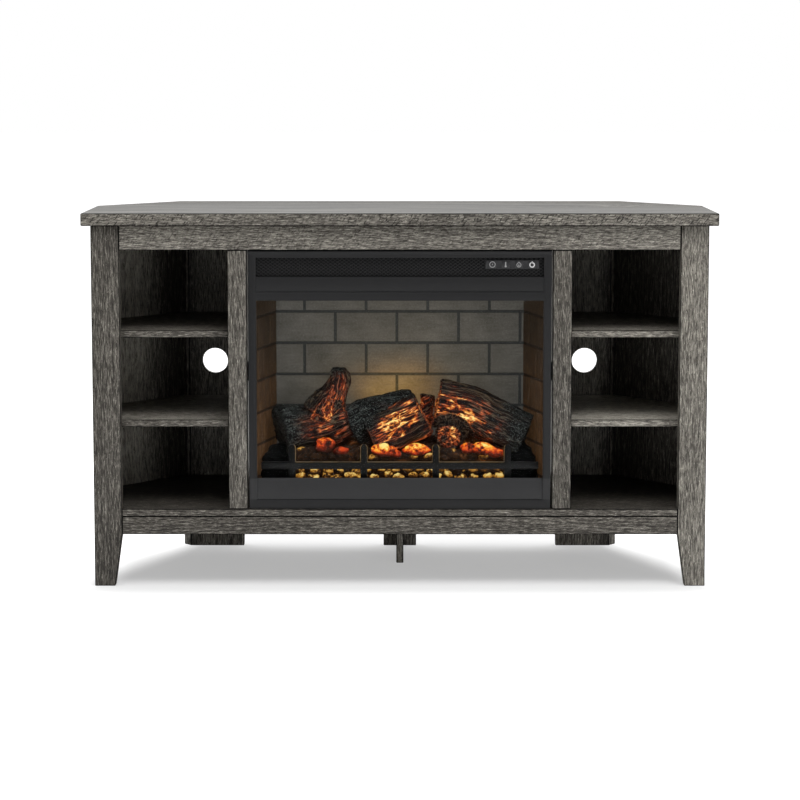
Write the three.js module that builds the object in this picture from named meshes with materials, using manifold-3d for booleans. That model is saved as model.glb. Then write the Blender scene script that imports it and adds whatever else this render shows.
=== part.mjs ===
// Corner TV stand in laminated board with an electric log-set fireplace insert in its middle bay.
// Millimetres, +Z up, the front faces -Y. The origin is on the floor, under the middle of the whole stand.
import * as THREE from 'three';
import { mergeVertices } from 'three/addons/utils/BufferGeometryUtils.js';
import Module from 'manifold-3d';

const wasm = await Module();
wasm.setup();

// Cabinet. Heights run up from the floor and depths run back from the posts' front faces
const cabinetWidth = 1227;
const cabinetDepth = 382;
const cabinetHeight = 752;
const boardThick = 15;
const cornerCut = 141;
const legHeight = 105;

// Top board
const topThick = 25;
const topFrontOverhang = 12;
const topSideOverhang = 17.5;
const topRearOverhang = 3;
const topEase = 1.5;

// Front posts, rails and stiles
const postWidth = 56;
const postDepth = 20;
const postFootWidth = 41;
const railThick = 18;
const railSetback = 1;
const topRailHeight = 49;
const lowerRailHeight = 37;
const bayWidth = 214.5;
const stileWidth = 38.5;

// Partitions and back boards
const partitionSetIn = 6;
const backThick = 16;
const rearFootTaper = 3;
const cableHoleDiameter = 55;
const cableHoleRise = 250;
const cableHoleInset = 63;
const rearRailHeight = 70;

// Centre leg
const centreLegSetback = 200;
const rearFootWidth = 71;

// Shelves and their pins
const shelfSetback = 32;
const shelfClearance = 1;
const lowerShelfRise = 161;
const upperShelfRise = 166;
const pinLength = 9;
const pinWidth = 8;
const pinThick = 3;
const pinRoot = 4;
const frontPinSetback = 36;
const rearPinInset = 40;

// Gaps between pieces that meet: a seat, and a fit that has to slide together
const seatGap = 0.3;
const overrun = 5;

// Insert front frame. Heights run up from the deck and depths run back from the frame's face
const frameSetback = 3;
const frameSideGap = 3;
const frameTopGap = 2.5;
const frameDepth = 16;
const sideBorder = 15;
const lowerBorder = 18;
const lowerPanelHeight = 41.5;
const glassHeadHeight = 17;
const upperPanelHeight = 28.5;
const grilleWindowHeight = 39;
const upperBorder = 12.5;
const grooveWidth = 1.5;
const panelRecess = 1;
const lowerPanelSlope = 5;

// Glass, and the grille with its diamond mesh
const glassThick = 4;
const glassOverlap = 6;
const grilleThick = 1.5;
const grilleOverlap = 4;
const grilleSetback = 6;
const meshPitch = 21;
const meshRise = 12;
const meshWire = 2.6;
const meshMargin = 1.4;

// Control strip and keys
const stripWidth = 106;
const stripHeight = 17;
const stripInset = 10;
const stripTop = 5.5;
const stripDepth = 10;
const stripProud = 1.5;
const stripWall = 1.5;
const keyWidth = 15;
const keyHeight = 13.2;
const keyProud = 0.4;
const keyFlange = 1.2;
const keyFlangeThick = 1;
const keyPitch = 26.3;
const keyGap = 0.2;
const keyTravel = 0.6;
const keyCrown = 0.25;
const controlBoardThick = 1.6;
const switchDiameter = 5;

// Sheet-metal housing of the insert
const sheet = 1.5;
const housingSideInset = 9.5;
const housingTopInset = 4.5;
const housingDepth = 186;
const ventWidth = 34;
const ventHeight = 5;
const ventPitch = 44;
const ventRowPitch = 13;
const glandBore = 8;
const glandNeck = 15.4;
const glandFlange = 22;
const glandFlangeThick = 3;
const glandInset = 62;
const glandRise = 40;
const bracketHeight = 40;
const bracketWidth = 46;
const bracketDepth = 32;
const bracketRise = 230;

// Firebox: tray, ceiling, brick screen and brick side walls
const trayHeight = 43;
const fireboxDepth = 109;
const ceilingRise = 19;
const wallRunIn = 33.5;
const screenThick = 3;
const wallThick = 3;
const courseHeight = 64.7;
const brickLength = 126.3;
const mortarWidth = 6;
const mortarDepth = 1;
const bondShift = -6;
const lowestMortarRise = 16.5;

// Grate in front of the embers
const grateSetback = 4.7;
const grateDepth = 8;
const grateEndGap = 7.5;
const grateBarHeight = 14.6;
const grateBarRise = 32;
const gratePostWidth = 14;
const gratePostHeight = 82;
const gratePostInset = 69.6;

// Ember bed and the char blocks at its ends
const bedEndRoom = 68.5;
const bedSetback = 18;
const bedFrontHeight = 62;
const bedRearHeight = 76;
const coalHeight = 16;
const coalCount = 8;
const bedRows = 5;
const bedTiers = 2;
const charDepth = 42;
const charHeight = 84;
const charEndGap = 4;

// Logs: radii are real sizes. Their paths are shares of the firebox's width, depth and height
const leftLogRadius = 44;
const branchRadius = 45;
const branchTipRadius = 16;
const rearLogRadius = 42;
const centreLogRadius = 46;
const rightLogRadius = 49;
const stubRadius = 30.5;
const chipRadius = 14;
const barkRidges = 7;
const barkShare = 0.045;
const leftLogShares = [
  [-0.415, 0.44, 0.25],
  [-0.35, 0.56, 0.262],
  [-0.27, 0.56, 0.288],
  [-0.185, 0.56, 0.333],
];
const branchShares = [
  [-0.272, 0.56, 0.345],
  [-0.248, 0.56, 0.41],
  [-0.225, 0.56, 0.474],
  [-0.215, 0.55, 0.535],
  [-0.213, 0.54, 0.581],
];
const rearLogShares = [[-0.178, 0.6, 0.262], [-0.09, 0.67, 0.343], [0.05, 0.69, 0.383]];
const centreLogShares = [[-0.1, 0.44, 0.222], [-0.008, 0.47, 0.281], [0.082, 0.49, 0.348]];
const chipShares = [[0.085, 0.6, 0.23], [0.1, 0.62, 0.438]];
const rightLogShares = [
  [0.132, 0.56, 0.4],
  [0.235, 0.56, 0.37],
  [0.345, 0.53, 0.3],
  [0.445, 0.44, 0.238],
];
const stubShares = [[0.172, 0.2, 0.243], [0.19, 0.56, 0.26]];

// Flame rotor with its reflecting petals, bearing and motor
const rotorSetback = 33;
const rotorRise = 78;
const rotorShaft = 6;
const rotorRadius = 20;
const rotorInset = 3;
const petalWidth = 25;
const petalThick = 0.8;
const petalPitch = 34;
const petalTurnShare = 0.103;
const shaftGap = 0.25;
const bearingPlate = 26;
const flameMotorDiameter = 42;
const flameMotorLength = 20;

// Light boards, power board
const ledBoardThick = 1.6;
const ledDiameter = 5;
const ledHeight = 1.4;
const ledPitch = 44;
const emberBoardInset = 20;
const emberBoardDepth = 18;
const flameBoardInset = 5;
const flameBoardHeight = 30;
const powerBoardWidth = 150;
const powerBoardDepth = 44;
const standoffHeight = 6;
const standoffDiameter = 7;

// Blower with its scroll, motor and heater
const wheelDiameter = 44;
const wheelLength = 180;
const wheelDisc = 1.5;
const bladeCount = 14;
const bladeThick = 0.9;
const bladeLength = 6;
const bladeSweep = 0.42;
const blowerShaft = 5;
const wheelSetback = 78;
const scrollGap = 3;
const scrollWall = 1.2;
const scrollGrowth = 7;
const scrollSteps = 14;
const blowerMotorDiameter = 36;
const blowerMotorLength = 34;
const heaterWidth = 186;
const heaterDepth = 18;
const heaterHeight = 46;
const heaterSetback = 22;
const heaterFrame = 4;
const heaterFins = 16;
const heaterFinThick = 1;

// Facets round a full turn
const fineSides = 32;
const sides = 16;
const coarseSides = 12;
const smallSides = 8;
const weld = 1e-4;

// Places that follow from the sizes above
const halfWidth = cabinetWidth / 2;
const sideRun = cabinetDepth - cornerCut;
const openingWidth = cabinetWidth - 2 * (postWidth + bayWidth + stileWidth);
const deckTop = legHeight + lowerRailHeight + boardThick;
const underTop = cabinetHeight - topThick;
const topRailBottom = underTop - topRailHeight;
const railBack = railSetback + railThick;
const postInner = halfWidth - postWidth;
const sideInner = halfWidth - boardThick;
const stileInner = openingWidth / 2;
const stileOuter = stileInner + stileWidth;
const partitionOuter = stileOuter - partitionSetIn;
const partitionInner = partitionOuter - boardThick;
const backFront = cabinetDepth - backThick;
const slant = halfWidth + sideRun;
const slantInner = slant - boardThick * Math.SQRT2;
const slantGap = seatGap * Math.SQRT2;
const lowerShelfBottom = deckTop + lowerShelfRise;
const upperShelfBottom = lowerShelfBottom + boardThick + upperShelfRise;

// The insert fills the opening between the stiles, from the deck up to the top rail
const frameWidth = openingWidth - 2 * frameSideGap;
const frameHeight = topRailBottom - deckTop - frameTopGap;
const windowHalf = frameWidth / 2 - sideBorder;
const lowerGroove = lowerBorder;
const lowerPanelBottom = lowerGroove + grooveWidth;
const glassBottom = lowerPanelBottom + lowerPanelHeight;
const grilleTop = frameHeight - upperBorder;
const grilleBottom = grilleTop - grilleWindowHeight;
const upperPanelBottom = grilleBottom - upperPanelHeight;
const upperGroove = upperPanelBottom - grooveWidth;
const glassTop = upperGroove - glassHeadHeight;
const glassFront = frameDepth - glassThick - seatGap;
const housingWidth = frameWidth - 2 * housingSideInset;
const housingHeight = frameHeight - housingTopInset;
const housingInner = housingWidth / 2 - sheet;
const housingBack = frameDepth + housingDepth;
const trayTop = trayHeight + sheet;
const ceilingBottom = glassTop + ceilingRise;
const ceilingTop = ceilingBottom + sheet;
const fireboxHeight = ceilingBottom - trayTop;
const screenFront = frameDepth + fireboxDepth + seatGap;
const screenWidth = 2 * (windowHalf - wallRunIn);
const grateWidth = 2 * (windowHalf - grateEndGap);
const gratePostPitch = 2 * (windowHalf - gratePostInset) / 3;
const bedWidth = 2 * (windowHalf - bedEndRoom);
const emberBoardWidth = bedWidth - 2 * emberBoardInset;
const rotorSpan = bedWidth - 2 * rotorInset;
const flameBoardWidth = rotorSpan - 2 * flameBoardInset;

// Mesh operations
function solidOf(geometry) {
  const bare = geometry.clone();
  bare.deleteAttribute('normal');
  bare.deleteAttribute('uv');
  const merged = mergeVertices(bare, weld);
  return new wasm.Manifold(new wasm.Mesh({
    numProp: 3,
    vertProperties: new Float32Array(merged.attributes.position.array),
    triVerts: new Uint32Array(merged.index.array),
  }));
}

function geometryOf(solid) {
  const mesh = solid.getMesh();
  const geometry = new THREE.BufferGeometry();
  geometry.setAttribute('position', new THREE.BufferAttribute(mesh.vertProperties, 3));
  geometry.setIndex(new THREE.BufferAttribute(mesh.triVerts, 1));
  return geometry;
}

function joined(first, ...others) {
  return geometryOf(others.reduce((solid, other) => solid.add(solidOf(other)), solidOf(first)));
}

function cut(first, ...tools) {
  return geometryOf(tools.reduce((solid, tool) => solid.subtract(solidOf(tool)), solidOf(first)));
}

function common(first, second) {
  return geometryOf(solidOf(first).intersect(solidOf(second)));
}

// Moves each vertex of a geometry by a function of its place
function reshaped(geometry, move) {
  const place = geometry.attributes.position;
  for (let i = 0; i < place.count; i += 1) {
    place.setXYZ(i, ...move(place.getX(i), place.getY(i), place.getZ(i)));
  }
  return geometry;
}

// The same shape on the other side of the middle
function mirrored(geometry) {
  const twin = (geometry.index ? geometry.toNonIndexed() : geometry.clone());
  const place = twin.attributes.position;
  const flipped = new Float32Array(place.array.length);
  for (let i = 0; i < place.count; i += 3) {
    [0, 2, 1].forEach((corner, k) => {
      flipped[3 * (i + k)] = -place.getX(i + corner);
      flipped[3 * (i + k) + 1] = place.getY(i + corner);
      flipped[3 * (i + k) + 2] = place.getZ(i + corner);
    });
  }
  const result = new THREE.BufferGeometry();
  result.setAttribute('position', new THREE.BufferAttribute(flipped, 3));
  return mergeVertices(result, weld);
}

// A rectangular block between two values on each axis
function block([x0, x1], [y0, y1], [z0, z1]) {
  return reshaped(
    new THREE.BoxGeometry(1, 1, 1),
    (x, y, z) => [x < 0 ? x0 : x1, y < 0 ? y0 : y1, z < 0 ? z0 : z1],
  );
}

// A straight prism: an outline in the plane across the axis, drawn out from low to high along it
const prismPlaces = {
  z: (u, v, w, low, high) => [u, v, w < 0.5 ? low : high],
  y: (u, v, w, low, high) => [u, w < 0.5 ? high : low, v],
  x: (u, v, w, low, high) => [w < 0.5 ? low : high, u, v],
};

function prism(axis, outline, [low, high]) {
  const shape = new THREE.Shape(outline.map(([u, v]) => new THREE.Vector2(u, v)));
  const drawn = new THREE.ExtrudeGeometry(shape, { depth: 1, bevelEnabled: false });
  return reshaped(drawn, (u, v, w) => prismPlaces[axis](u, v, w, low, high));
}

function circle(radius, count, [u, v] = [0, 0]) {
  return Array.from({ length: count }, (_, i) => {
    const angle = 2 * Math.PI * i / count;
    return [u + radius * Math.cos(angle), v + radius * Math.sin(angle)];
  });
}

// A round bar along an axis, centred at (u, v) in the plane across it
function bar(axis, diameter, centre, span, count = sides) {
  return prism(axis, circle(diameter / 2, count, centre), span);
}

// A closed tube through the stations, with bark ridges along it
function logAlong(shares, radii, grow = 0, count = sides) {
  const places = shares.map(([x, y, z]) => new THREE.Vector3(
    x * 2 * windowHalf,
    frameDepth + y * fireboxDepth,
    trayTop + z * fireboxHeight,
  ));
  const curve = new THREE.CatmullRomCurve3(places);
  const steps = 3 * (places.length - 1);
  const frames = curve.computeFrenetFrames(steps, false);
  const points = [];
  for (let i = 0; i <= steps; i += 1) {
    const along = i / steps;
    const reach = along * (radii.length - 1);
    const station = Math.min(Math.floor(reach), radii.length - 2);
    const radius = THREE.MathUtils.lerp(radii[station], radii[station + 1], reach - station) + grow;
    const centre = curve.getPointAt(along);
    for (let j = 0; j < count; j += 1) {
      const angle = 2 * Math.PI * j / count;
      const bark = 1 + barkShare * Math.sin(barkRidges * angle + 4 * along) * Math.cos(3 * angle - 5 * along);
      points.push(centre.clone()
        .addScaledVector(frames.normals[i], radius * bark * Math.cos(angle))
        .addScaledVector(frames.binormals[i], radius * bark * Math.sin(angle)));
    }
  }
  points.push(curve.getPointAt(0), curve.getPointAt(1));
  const startCentre = points.length - 2;
  const endCentre = points.length - 1;
  const faces = [];
  for (let j = 0; j < count; j += 1) {
    const next = (j + 1) % count;
    for (let i = 0; i < steps; i += 1) {
      const a = i * count;
      const b = a + count;
      faces.push(a + j, a + next, b + j, a + next, b + next, b + j);
    }
    const last = steps * count;
    faces.push(startCentre, next, j, endCentre, last + j, last + next);
  }
  const geometry = new THREE.BufferGeometry().setFromPoints(points);
  geometry.setIndex(faces);
  return geometry;
}

// Materials
function finish(color, roughness, metalness = 0) {
  return new THREE.MeshStandardMaterial({ color, roughness, metalness });
}

const oak = finish(0x6f6a63, 0.6);
const innerOak = finish(0x4a4641, 0.65);
const charcoal = finish(0x333436, 0.45, 0.3);
const meshBlack = finish(0x1b1b1c, 0.5, 0.4);
const stripBlack = finish(0x26272a, 0.3);
const keyBlack = finish(0x2f3033, 0.35);
const smokedGlass = finish(0x2b2d2e, 0.05);
const brickPrint = finish(0x6b6257, 0.8);
const sideBrick = finish(0x5b3b22, 0.8);
const bark = finish(0x4a2413, 0.85);
const charred = finish(0x17120f, 0.9);
const embers = finish(0xd98a2b, 0.6);
const grateBlack = finish(0x14181a, 0.5, 0.4);
const steel = finish(0x8b8f92, 0.4, 0.9);
const reflector = finish(0xc9ccd0, 0.15, 1);
const motorGrey = finish(0x55585b, 0.5, 0.6);
const boardGreen = finish(0x2f5a3a, 0.6);
const wheelGrey = finish(0x9a9da0, 0.45, 0.8);
const heaterMetal = finish(0x7a6f62, 0.5, 0.6);
const rubber = finish(0x1a1a1a, 0.8);

const stand = new THREE.Group();
const cabinet = new THREE.Group();
const insert = new THREE.Group();
stand.add(cabinet, insert);
cabinet.position.y = (topFrontOverhang - topRearOverhang - cabinetDepth) / 2;
insert.position.y = cabinet.position.y + frameSetback;
insert.position.z = deckTop;

function add(group, name, geometry, material) {
  const mesh = new THREE.Mesh(geometry, material);
  mesh.name = name;
  geometry.computeVertexNormals();
  group.add(mesh);
}

function addPair(group, name, rightGeometry, material) {
  add(group, `right_${name}`, rightGeometry, material);
  add(group, `left_${name}`, mirrored(rightGeometry), material);
}

// An outline that is given for the right half and closed by its mirror image
function bothHalves(rightHalf) {
  return [...rightHalf, ...[...rightHalf].reverse().map(([x, y]) => [-x, y])];
}

// Top board: the rear corners are cut off at 45 degrees, and all its edges are eased
function topBoard() {
  const edge = halfWidth + topSideOverhang - topEase;
  const rear = cabinetDepth + topRearOverhang - topEase;
  const cutLine = slant + (topRearOverhang - topEase) * Math.SQRT2;
  const outline = bothHalves([
    [edge, topEase - topFrontOverhang],
    [edge, cutLine - edge],
    [cutLine - rear, rear],
  ]);
  const shape = new THREE.Shape(outline.map(([x, y]) => new THREE.Vector2(x, y)));
  const slab = new THREE.ExtrudeGeometry(shape, {
    depth: topThick - 2 * topEase,
    bevelThickness: topEase,
    bevelSize: topEase,
    bevelSegments: 2,
  });
  const low = underTop;
  return reshaped(slab, (x, y, z) => [x, y, z < weld - topEase ? low : low + topEase + z]);
}

// Post: one board on its face, with its inner edge tapered below the lower rail to form the foot
function post() {
  const outline = [
    [halfWidth, 0],
    [halfWidth, underTop],
    [postInner, underTop],
    [postInner, legHeight],
    [halfWidth - postFootWidth, 0],
  ];
  return prism('y', outline, [0, postDepth]);
}

// Shelf pin: a flat tongue with a round nose, whose top carries the shelf. It points along -X from the origin
function pin(top) {
  const nose = Array.from({ length: 5 }, (_, i) => {
    const angle = Math.PI * (0.5 + i / 4);
    const reach = pinLength - pinWidth / 2;
    return [pinWidth / 2 * Math.cos(angle) - reach, pinWidth / 2 * Math.sin(angle)];
  });
  return prism('z', [[pinRoot, -pinWidth / 2], [pinRoot, pinWidth / 2], ...nose], [top - pinThick, top]);
}

function pinAt(x, y, turn, top) {
  return pin(top).rotateZ(turn).translate(x, y, 0);
}

function withPins(panel, places) {
  const tops = [lowerShelfBottom, upperShelfBottom];
  const pins = tops.flatMap((top) => places.map(([x, y, turn]) => pinAt(x, y, turn, top)));
  const seated = pins.map((one, i) => levelled(one, tops[Math.floor(i / places.length)]));
  return joined(panel, ...seated);
}

// A pin's top is set back on the shelf's underside exactly, after it has been turned
function levelled(one, top) {
  return reshaped(one, (x, y, z) => [x, y, z > top - pinThick / 2 ? top : top - pinThick]);
}

function partition() {
  const panel = block([partitionInner, partitionOuter], [railBack, cabinetDepth], [deckTop, underTop]);
  return withPins(panel, [
    [partitionOuter, shelfSetback + frontPinSetback, Math.PI],
    [partitionOuter, backFront - rearPinInset, Math.PI],
  ]);
}

function sidePanel() {
  const outline = [
    [sideInner, postDepth],
    [halfWidth, postDepth],
    [halfWidth, sideRun],
    [sideInner, slantInner - sideInner],
  ];
  const panel = prism('z', outline, [legHeight, underTop]);
  return withPins(panel, [[sideInner, shelfSetback + frontPinSetback, 0]]);
}

// Diagonal panel: it closes the cut-off corner and butts on the bevelled end of the back board
function diagonalPanel() {
  const rearEnd = slant - 2 * cabinetDepth;
  const step = slantGap / 2;
  const outline = [
    [halfWidth - step, sideRun + step],
    [cabinetDepth + rearEnd, cabinetDepth],
    [(slantInner + rearEnd) / 2, (slantInner - rearEnd) / 2],
    [sideInner - step, slantInner - sideInner + step],
  ];
  const panel = prism('z', outline, [legHeight, underTop]);
  const pinX = (slantInner + rearEnd) / 2 + rearPinInset;
  return withPins(panel, [[pinX, slantInner - pinX, Math.PI / 4]]);
}

// Back board: it stands on the floor as a rear leg, and its outer end is bevelled for the diagonal panel
function backBoard() {
  const bevel = slant - 2 * cabinetDepth - slantGap;
  const outline = [
    [partitionOuter, backFront],
    [backFront + bevel, backFront],
    [cabinetDepth + bevel, cabinetDepth],
    [partitionOuter, cabinetDepth],
  ];
  const board = prism('z', outline, [0, underTop]);
  const across = [backFront - overrun, cabinetDepth + overrun];
  const holeCentre = [partitionOuter + cableHoleInset, deckTop + cableHoleRise];
  const taper = prism('y', [
    [partitionOuter - overrun, -overrun],
    [partitionOuter + rearFootTaper * (1 + overrun / legHeight), -overrun],
    [partitionOuter, legHeight],
    [partitionOuter - overrun, legHeight],
  ], across);
  return cut(board, bar('y', cableHoleDiameter, holeCentre, across, fineSides), taper);
}

function deck() {
  const inside = slantInner - slantGap;
  const outline = bothHalves([
    [postInner, 0],
    [postInner, postDepth],
    [sideInner, postDepth],
    [sideInner, inside - sideInner],
    [inside - backFront, backFront],
    [partitionOuter, backFront],
    [partitionOuter, cabinetDepth],
  ]);
  return prism('z', outline, [deckTop - boardThick, deckTop]);
}

function shelf(bottom) {
  const inner = partitionOuter + shelfClearance;
  const outer = sideInner - shelfClearance;
  const rear = backFront - shelfClearance;
  const inside = slantInner - shelfClearance * Math.SQRT2;
  const outline = [
    [inner, shelfSetback],
    [outer, shelfSetback],
    [outer, inside - outer],
    [inside - rear, rear],
    [inner, rear],
  ];
  return prism('z', outline, [bottom, bottom + boardThick]);
}

function buildCabinet() {
  const railDepth = [railSetback, railBack];
  const postSpan = [-postInner, postInner];
  const back = [backFront, cabinetDepth];
  const underDeck = [0, deckTop - boardThick];
  const centreLeg = [[-boardThick / 2, boardThick / 2], [centreLegSetback, backFront], underDeck];
  const rearFoot = [[-rearFootWidth / 2, rearFootWidth / 2], back, underDeck];
  const rearRail = [[-partitionInner, partitionInner], back, [underTop - rearRailHeight, underTop]];
  add(cabinet, 'top_board', topBoard(), oak);
  addPair(cabinet, 'post', post(), oak);
  add(cabinet, 'top_rail', block(postSpan, railDepth, [topRailBottom, underTop]), oak);
  add(cabinet, 'lower_rail', block(postSpan, railDepth, [legHeight, legHeight + lowerRailHeight]), oak);
  addPair(cabinet, 'stile', block([stileInner, stileOuter], railDepth, [deckTop, topRailBottom]), oak);
  add(cabinet, 'deck', deck(), oak);
  addPair(cabinet, 'partition', partition(), oak);
  addPair(cabinet, 'side_panel', sidePanel(), oak);
  addPair(cabinet, 'diagonal_panel', diagonalPanel(), oak);
  addPair(cabinet, 'back_board', backBoard(), oak);
  add(cabinet, 'rear_rail', block(...rearRail), innerOak);
  addPair(cabinet, 'lower_shelf', shelf(lowerShelfBottom), oak);
  addPair(cabinet, 'upper_shelf', shelf(upperShelfBottom), oak);
  add(cabinet, 'centre_leg', block(...centreLeg), oak);
  add(cabinet, 'rear_centre_foot', block(...rearFoot), innerOak);
}

// Front frame: a box frame with two windows, two grooves, a recessed upper panel and a sloped lower panel
function frontFrame() {
  const span = [-windowHalf, windowHalf];
  const through = [-overrun, frameDepth + overrun];
  const rebate = (over) => [-windowHalf - over - seatGap, windowHalf + over + seatGap];
  const slope = [
    [-overrun, lowerPanelBottom],
    [panelRecess, lowerPanelBottom],
    [lowerPanelSlope, glassBottom],
    [-overrun, glassBottom],
  ];
  return cut(
    block([-frameWidth / 2, frameWidth / 2], [0, frameDepth], [0, frameHeight]),
    block(span, through, [glassBottom, glassTop]),
    block(span, through, [grilleBottom, grilleTop]),
    block(span, [-overrun, panelRecess], [upperGroove, grilleBottom]),
    block(span, [-overrun, 2 * panelRecess], [upperGroove, upperGroove + grooveWidth]),
    block(span, [-overrun, 2 * panelRecess], [lowerGroove, lowerGroove + grooveWidth]),
    block(
      rebate(glassOverlap),
      [glassFront - seatGap, frameDepth + overrun],
      [glassBottom - glassOverlap - seatGap, glassTop + glassOverlap + seatGap],
    ),
    block(
      rebate(grilleOverlap),
      [grilleSetback, frameDepth + overrun],
      [grilleBottom - grilleOverlap - seatGap, grilleTop + grilleOverlap + seatGap],
    ),
    prism('x', slope, span),
  );
}

function glassPane() {
  const half = windowHalf + glassOverlap;
  const front = glassFront;
  return block(
    [-half, half],
    [front, front + glassThick],
    [glassBottom - glassOverlap, glassTop + glassOverlap],
  );
}

// The control strip's place, used by the grille, the strip, its keys and its board
const stripRight = windowHalf - stripInset;
const stripLeft = stripRight - stripWidth;
const stripUpper = grilleTop - stripTop;
const stripLower = stripUpper - stripHeight;
const stripFront = grilleSetback - stripProud;
const stripBack = stripFront + stripDepth;
const keyMiddle = (stripUpper + stripLower) / 2;
const keyCentres = [-1.5, -0.5, 0.5, 1.5].map((place) => (stripLeft + stripRight) / 2 + place * keyPitch);

// Vent grille: staggered diamonds cut through a plate, with a plain rim and a cut-out for the control strip
function ventGrille() {
  const half = windowHalf + grilleOverlap;
  const face = [grilleSetback + seatGap, grilleSetback + seatGap + grilleThick];
  const plate = block([-half, half], face, [grilleBottom - grilleOverlap, grilleTop + grilleOverlap]);
  const usable = 2 * (windowHalf - meshMargin);
  const columns = Math.floor(usable / meshPitch);
  const rows = Math.floor((grilleWindowHeight - 2 * meshMargin) / meshRise);
  const middle = (grilleBottom + grilleTop) / 2;
  const halfDiamond = [(meshPitch - meshWire) / 2, (meshRise - meshWire * meshRise / meshPitch) / 2];
  const across = [grilleSetback - overrun, grilleSetback + grilleThick + overrun];
  const clearOfStrip = (x, z) => x + halfDiamond[0] < stripLeft - meshMargin
    || x - halfDiamond[0] > stripRight + meshMargin
    || z + halfDiamond[1] < stripLower - meshMargin
    || z - halfDiamond[1] > stripUpper + meshMargin;
  const holes = [];
  for (let row = 0; row < 2 * rows - 1; row += 1) {
    const z = middle + (row - rows + 1) * meshRise / 2;
    const count = columns - row % 2;
    for (let column = 0; column < count; column += 1) {
      const x = (column - (count - 1) / 2) * meshPitch;
      if (clearOfStrip(x, z)) {
        const [w, h] = halfDiamond;
        holes.push(solidOf(prism('y', [[x + w, z], [x, z + h], [x - w, z], [x, z - h]], across)));
      }
    }
  }
  const stripHole = block(
    [stripLeft - seatGap, stripRight + seatGap],
    across,
    [stripLower - seatGap, stripUpper + seatGap],
  );
  const solid = solidOf(plate).subtract(solidOf(stripHole)).subtract(wasm.Manifold.union(holes));
  return geometryOf(solid);
}

// Control strip: a shallow box that is open behind, with a window for each key
function controlStrip() {
  const shell = cut(
    block([stripLeft, stripRight], [stripFront, stripBack], [stripLower, stripUpper]),
    block(
      [stripLeft + stripWall, stripRight - stripWall],
      [stripFront + stripWall, stripBack + overrun],
      [stripLower + stripWall, stripUpper - stripWall],
    ),
  );
  const windows = keyCentres.map((x) => block(
    [x - keyWidth / 2 - keyGap, x + keyWidth / 2 + keyGap],
    [stripFront - overrun, stripFront + 2 * stripWall],
    [keyMiddle - keyHeight / 2 - keyGap, keyMiddle + keyHeight / 2 + keyGap],
  ));
  return cut(shell, ...windows);
}

// Key: a crowned cap in its window. A flange behind the strip's face holds it in at both sides
function key(x) {
  const front = stripFront - keyProud;
  const flangeFront = stripFront + stripWall + keyGap;
  const cap = new THREE.BoxGeometry(keyWidth, 1, keyHeight, 6, 1, 1);
  const crowned = reshaped(cap, (u, v, w) => [
    x + u,
    v < 0 ? front + keyCrown * (2 * u / keyWidth) ** 2 : flangeFront + keyFlangeThick,
    keyMiddle + w,
  ]);
  const flange = block(
    [x - keyWidth / 2 - keyFlange, x + keyWidth / 2 + keyFlange],
    [flangeFront, flangeFront + keyFlangeThick],
    [keyMiddle - keyHeight / 2, keyMiddle + keyHeight / 2],
  );
  return joined(crowned, flange);
}

// Control board: it closes the strip's back, with a switch button behind each key
function controlBoard() {
  const half = stripWidth / 2 - stripWall - seatGap;
  const middle = (stripLeft + stripRight) / 2;
  const keyBack = stripFront + stripWall + keyGap + keyFlangeThick;
  const front = stripBack - controlBoardThick;
  const board = block(
    [middle - half, middle + half],
    [front, stripBack],
    [stripLower + stripWall + seatGap, stripUpper - stripWall - seatGap],
  );
  const switches = keyCentres.map((x) => bar(
    'y',
    switchDiameter,
    [x, keyMiddle],
    [keyBack + keyTravel + keyGap / 2, front + controlBoardThick / 2],
    coarseSides,
  ));
  return joined(board, ...switches);
}

// Housing: a folded sheet sleeve behind the front frame. The back cover closes it
function housing() {
  return cut(
    block([-housingWidth / 2, housingWidth / 2], [frameDepth, housingBack], [0, housingHeight]),
    block(
      [-housingInner, housingInner],
      [frameDepth - overrun, housingBack + overrun],
      [sheet, housingHeight - sheet],
    ),
  );
}

const glandX = glandInset - housingWidth / 2;

// Back cover: a field of air slots above for the blower, one below for the boards, and the gland's hole
function backCover() {
  const across = [housingBack - overrun, housingBack + sheet + overrun];
  const plate = block(
    [-housingWidth / 2, housingWidth / 2],
    [housingBack, housingBack + sheet],
    [0, housingHeight],
  );
  const slotField = (columns, rows, centreX, firstZ) => {
    const slots = [];
    for (let row = 0; row < rows; row += 1) {
      for (let column = 0; column < columns; column += 1) {
        const x = centreX + (column - (columns - 1) / 2) * ventPitch;
        const z = firstZ + row * ventRowPitch;
        slots.push(block(
          [x - ventWidth / 2, x + ventWidth / 2],
          across,
          [z - ventHeight / 2, z + ventHeight / 2],
        ));
      }
    }
    return slots;
  };
  return cut(
    plate,
    ...slotField(6, 3, 0, ceilingTop + 2 * ventRowPitch),
    ...slotField(4, 2, housingWidth / 8, glandRise),
    bar('y', glandNeck + 2 * seatGap, [glandX, glandRise], across),
  );
}

// Cord gland: a flanged rubber ring in the back cover's hole
function cordGland() {
  const outside = housingBack + sheet + seatGap;
  const inside = housingBack - seatGap;
  const centre = [glandX, glandRise];
  const body = joined(
    bar('y', glandNeck, centre, [inside - glandFlangeThick, outside + glandFlangeThick]),
    bar('y', glandFlange, centre, [outside, outside + glandFlangeThick]),
    bar('y', glandFlange, centre, [inside - glandFlangeThick / 2, inside]),
  );
  const bore = bar('y', glandBore, centre, [inside - 2 * glandFlangeThick, outside + 2 * glandFlangeThick]);
  return cut(body, bore);
}

// Hold-back bracket: an angle from the partition to the back of the insert
function bracket() {
  const outer = partitionInner - seatGap;
  const behind = housingBack + sheet + seatGap;
  const height = [bracketRise, bracketRise + bracketHeight];
  return joined(
    block([outer - sheet, outer], [behind + sheet - bracketDepth, behind + sheet], height),
    block([outer - bracketWidth, outer - sheet / 2], [behind, behind + sheet], height),
  );
}

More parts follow.
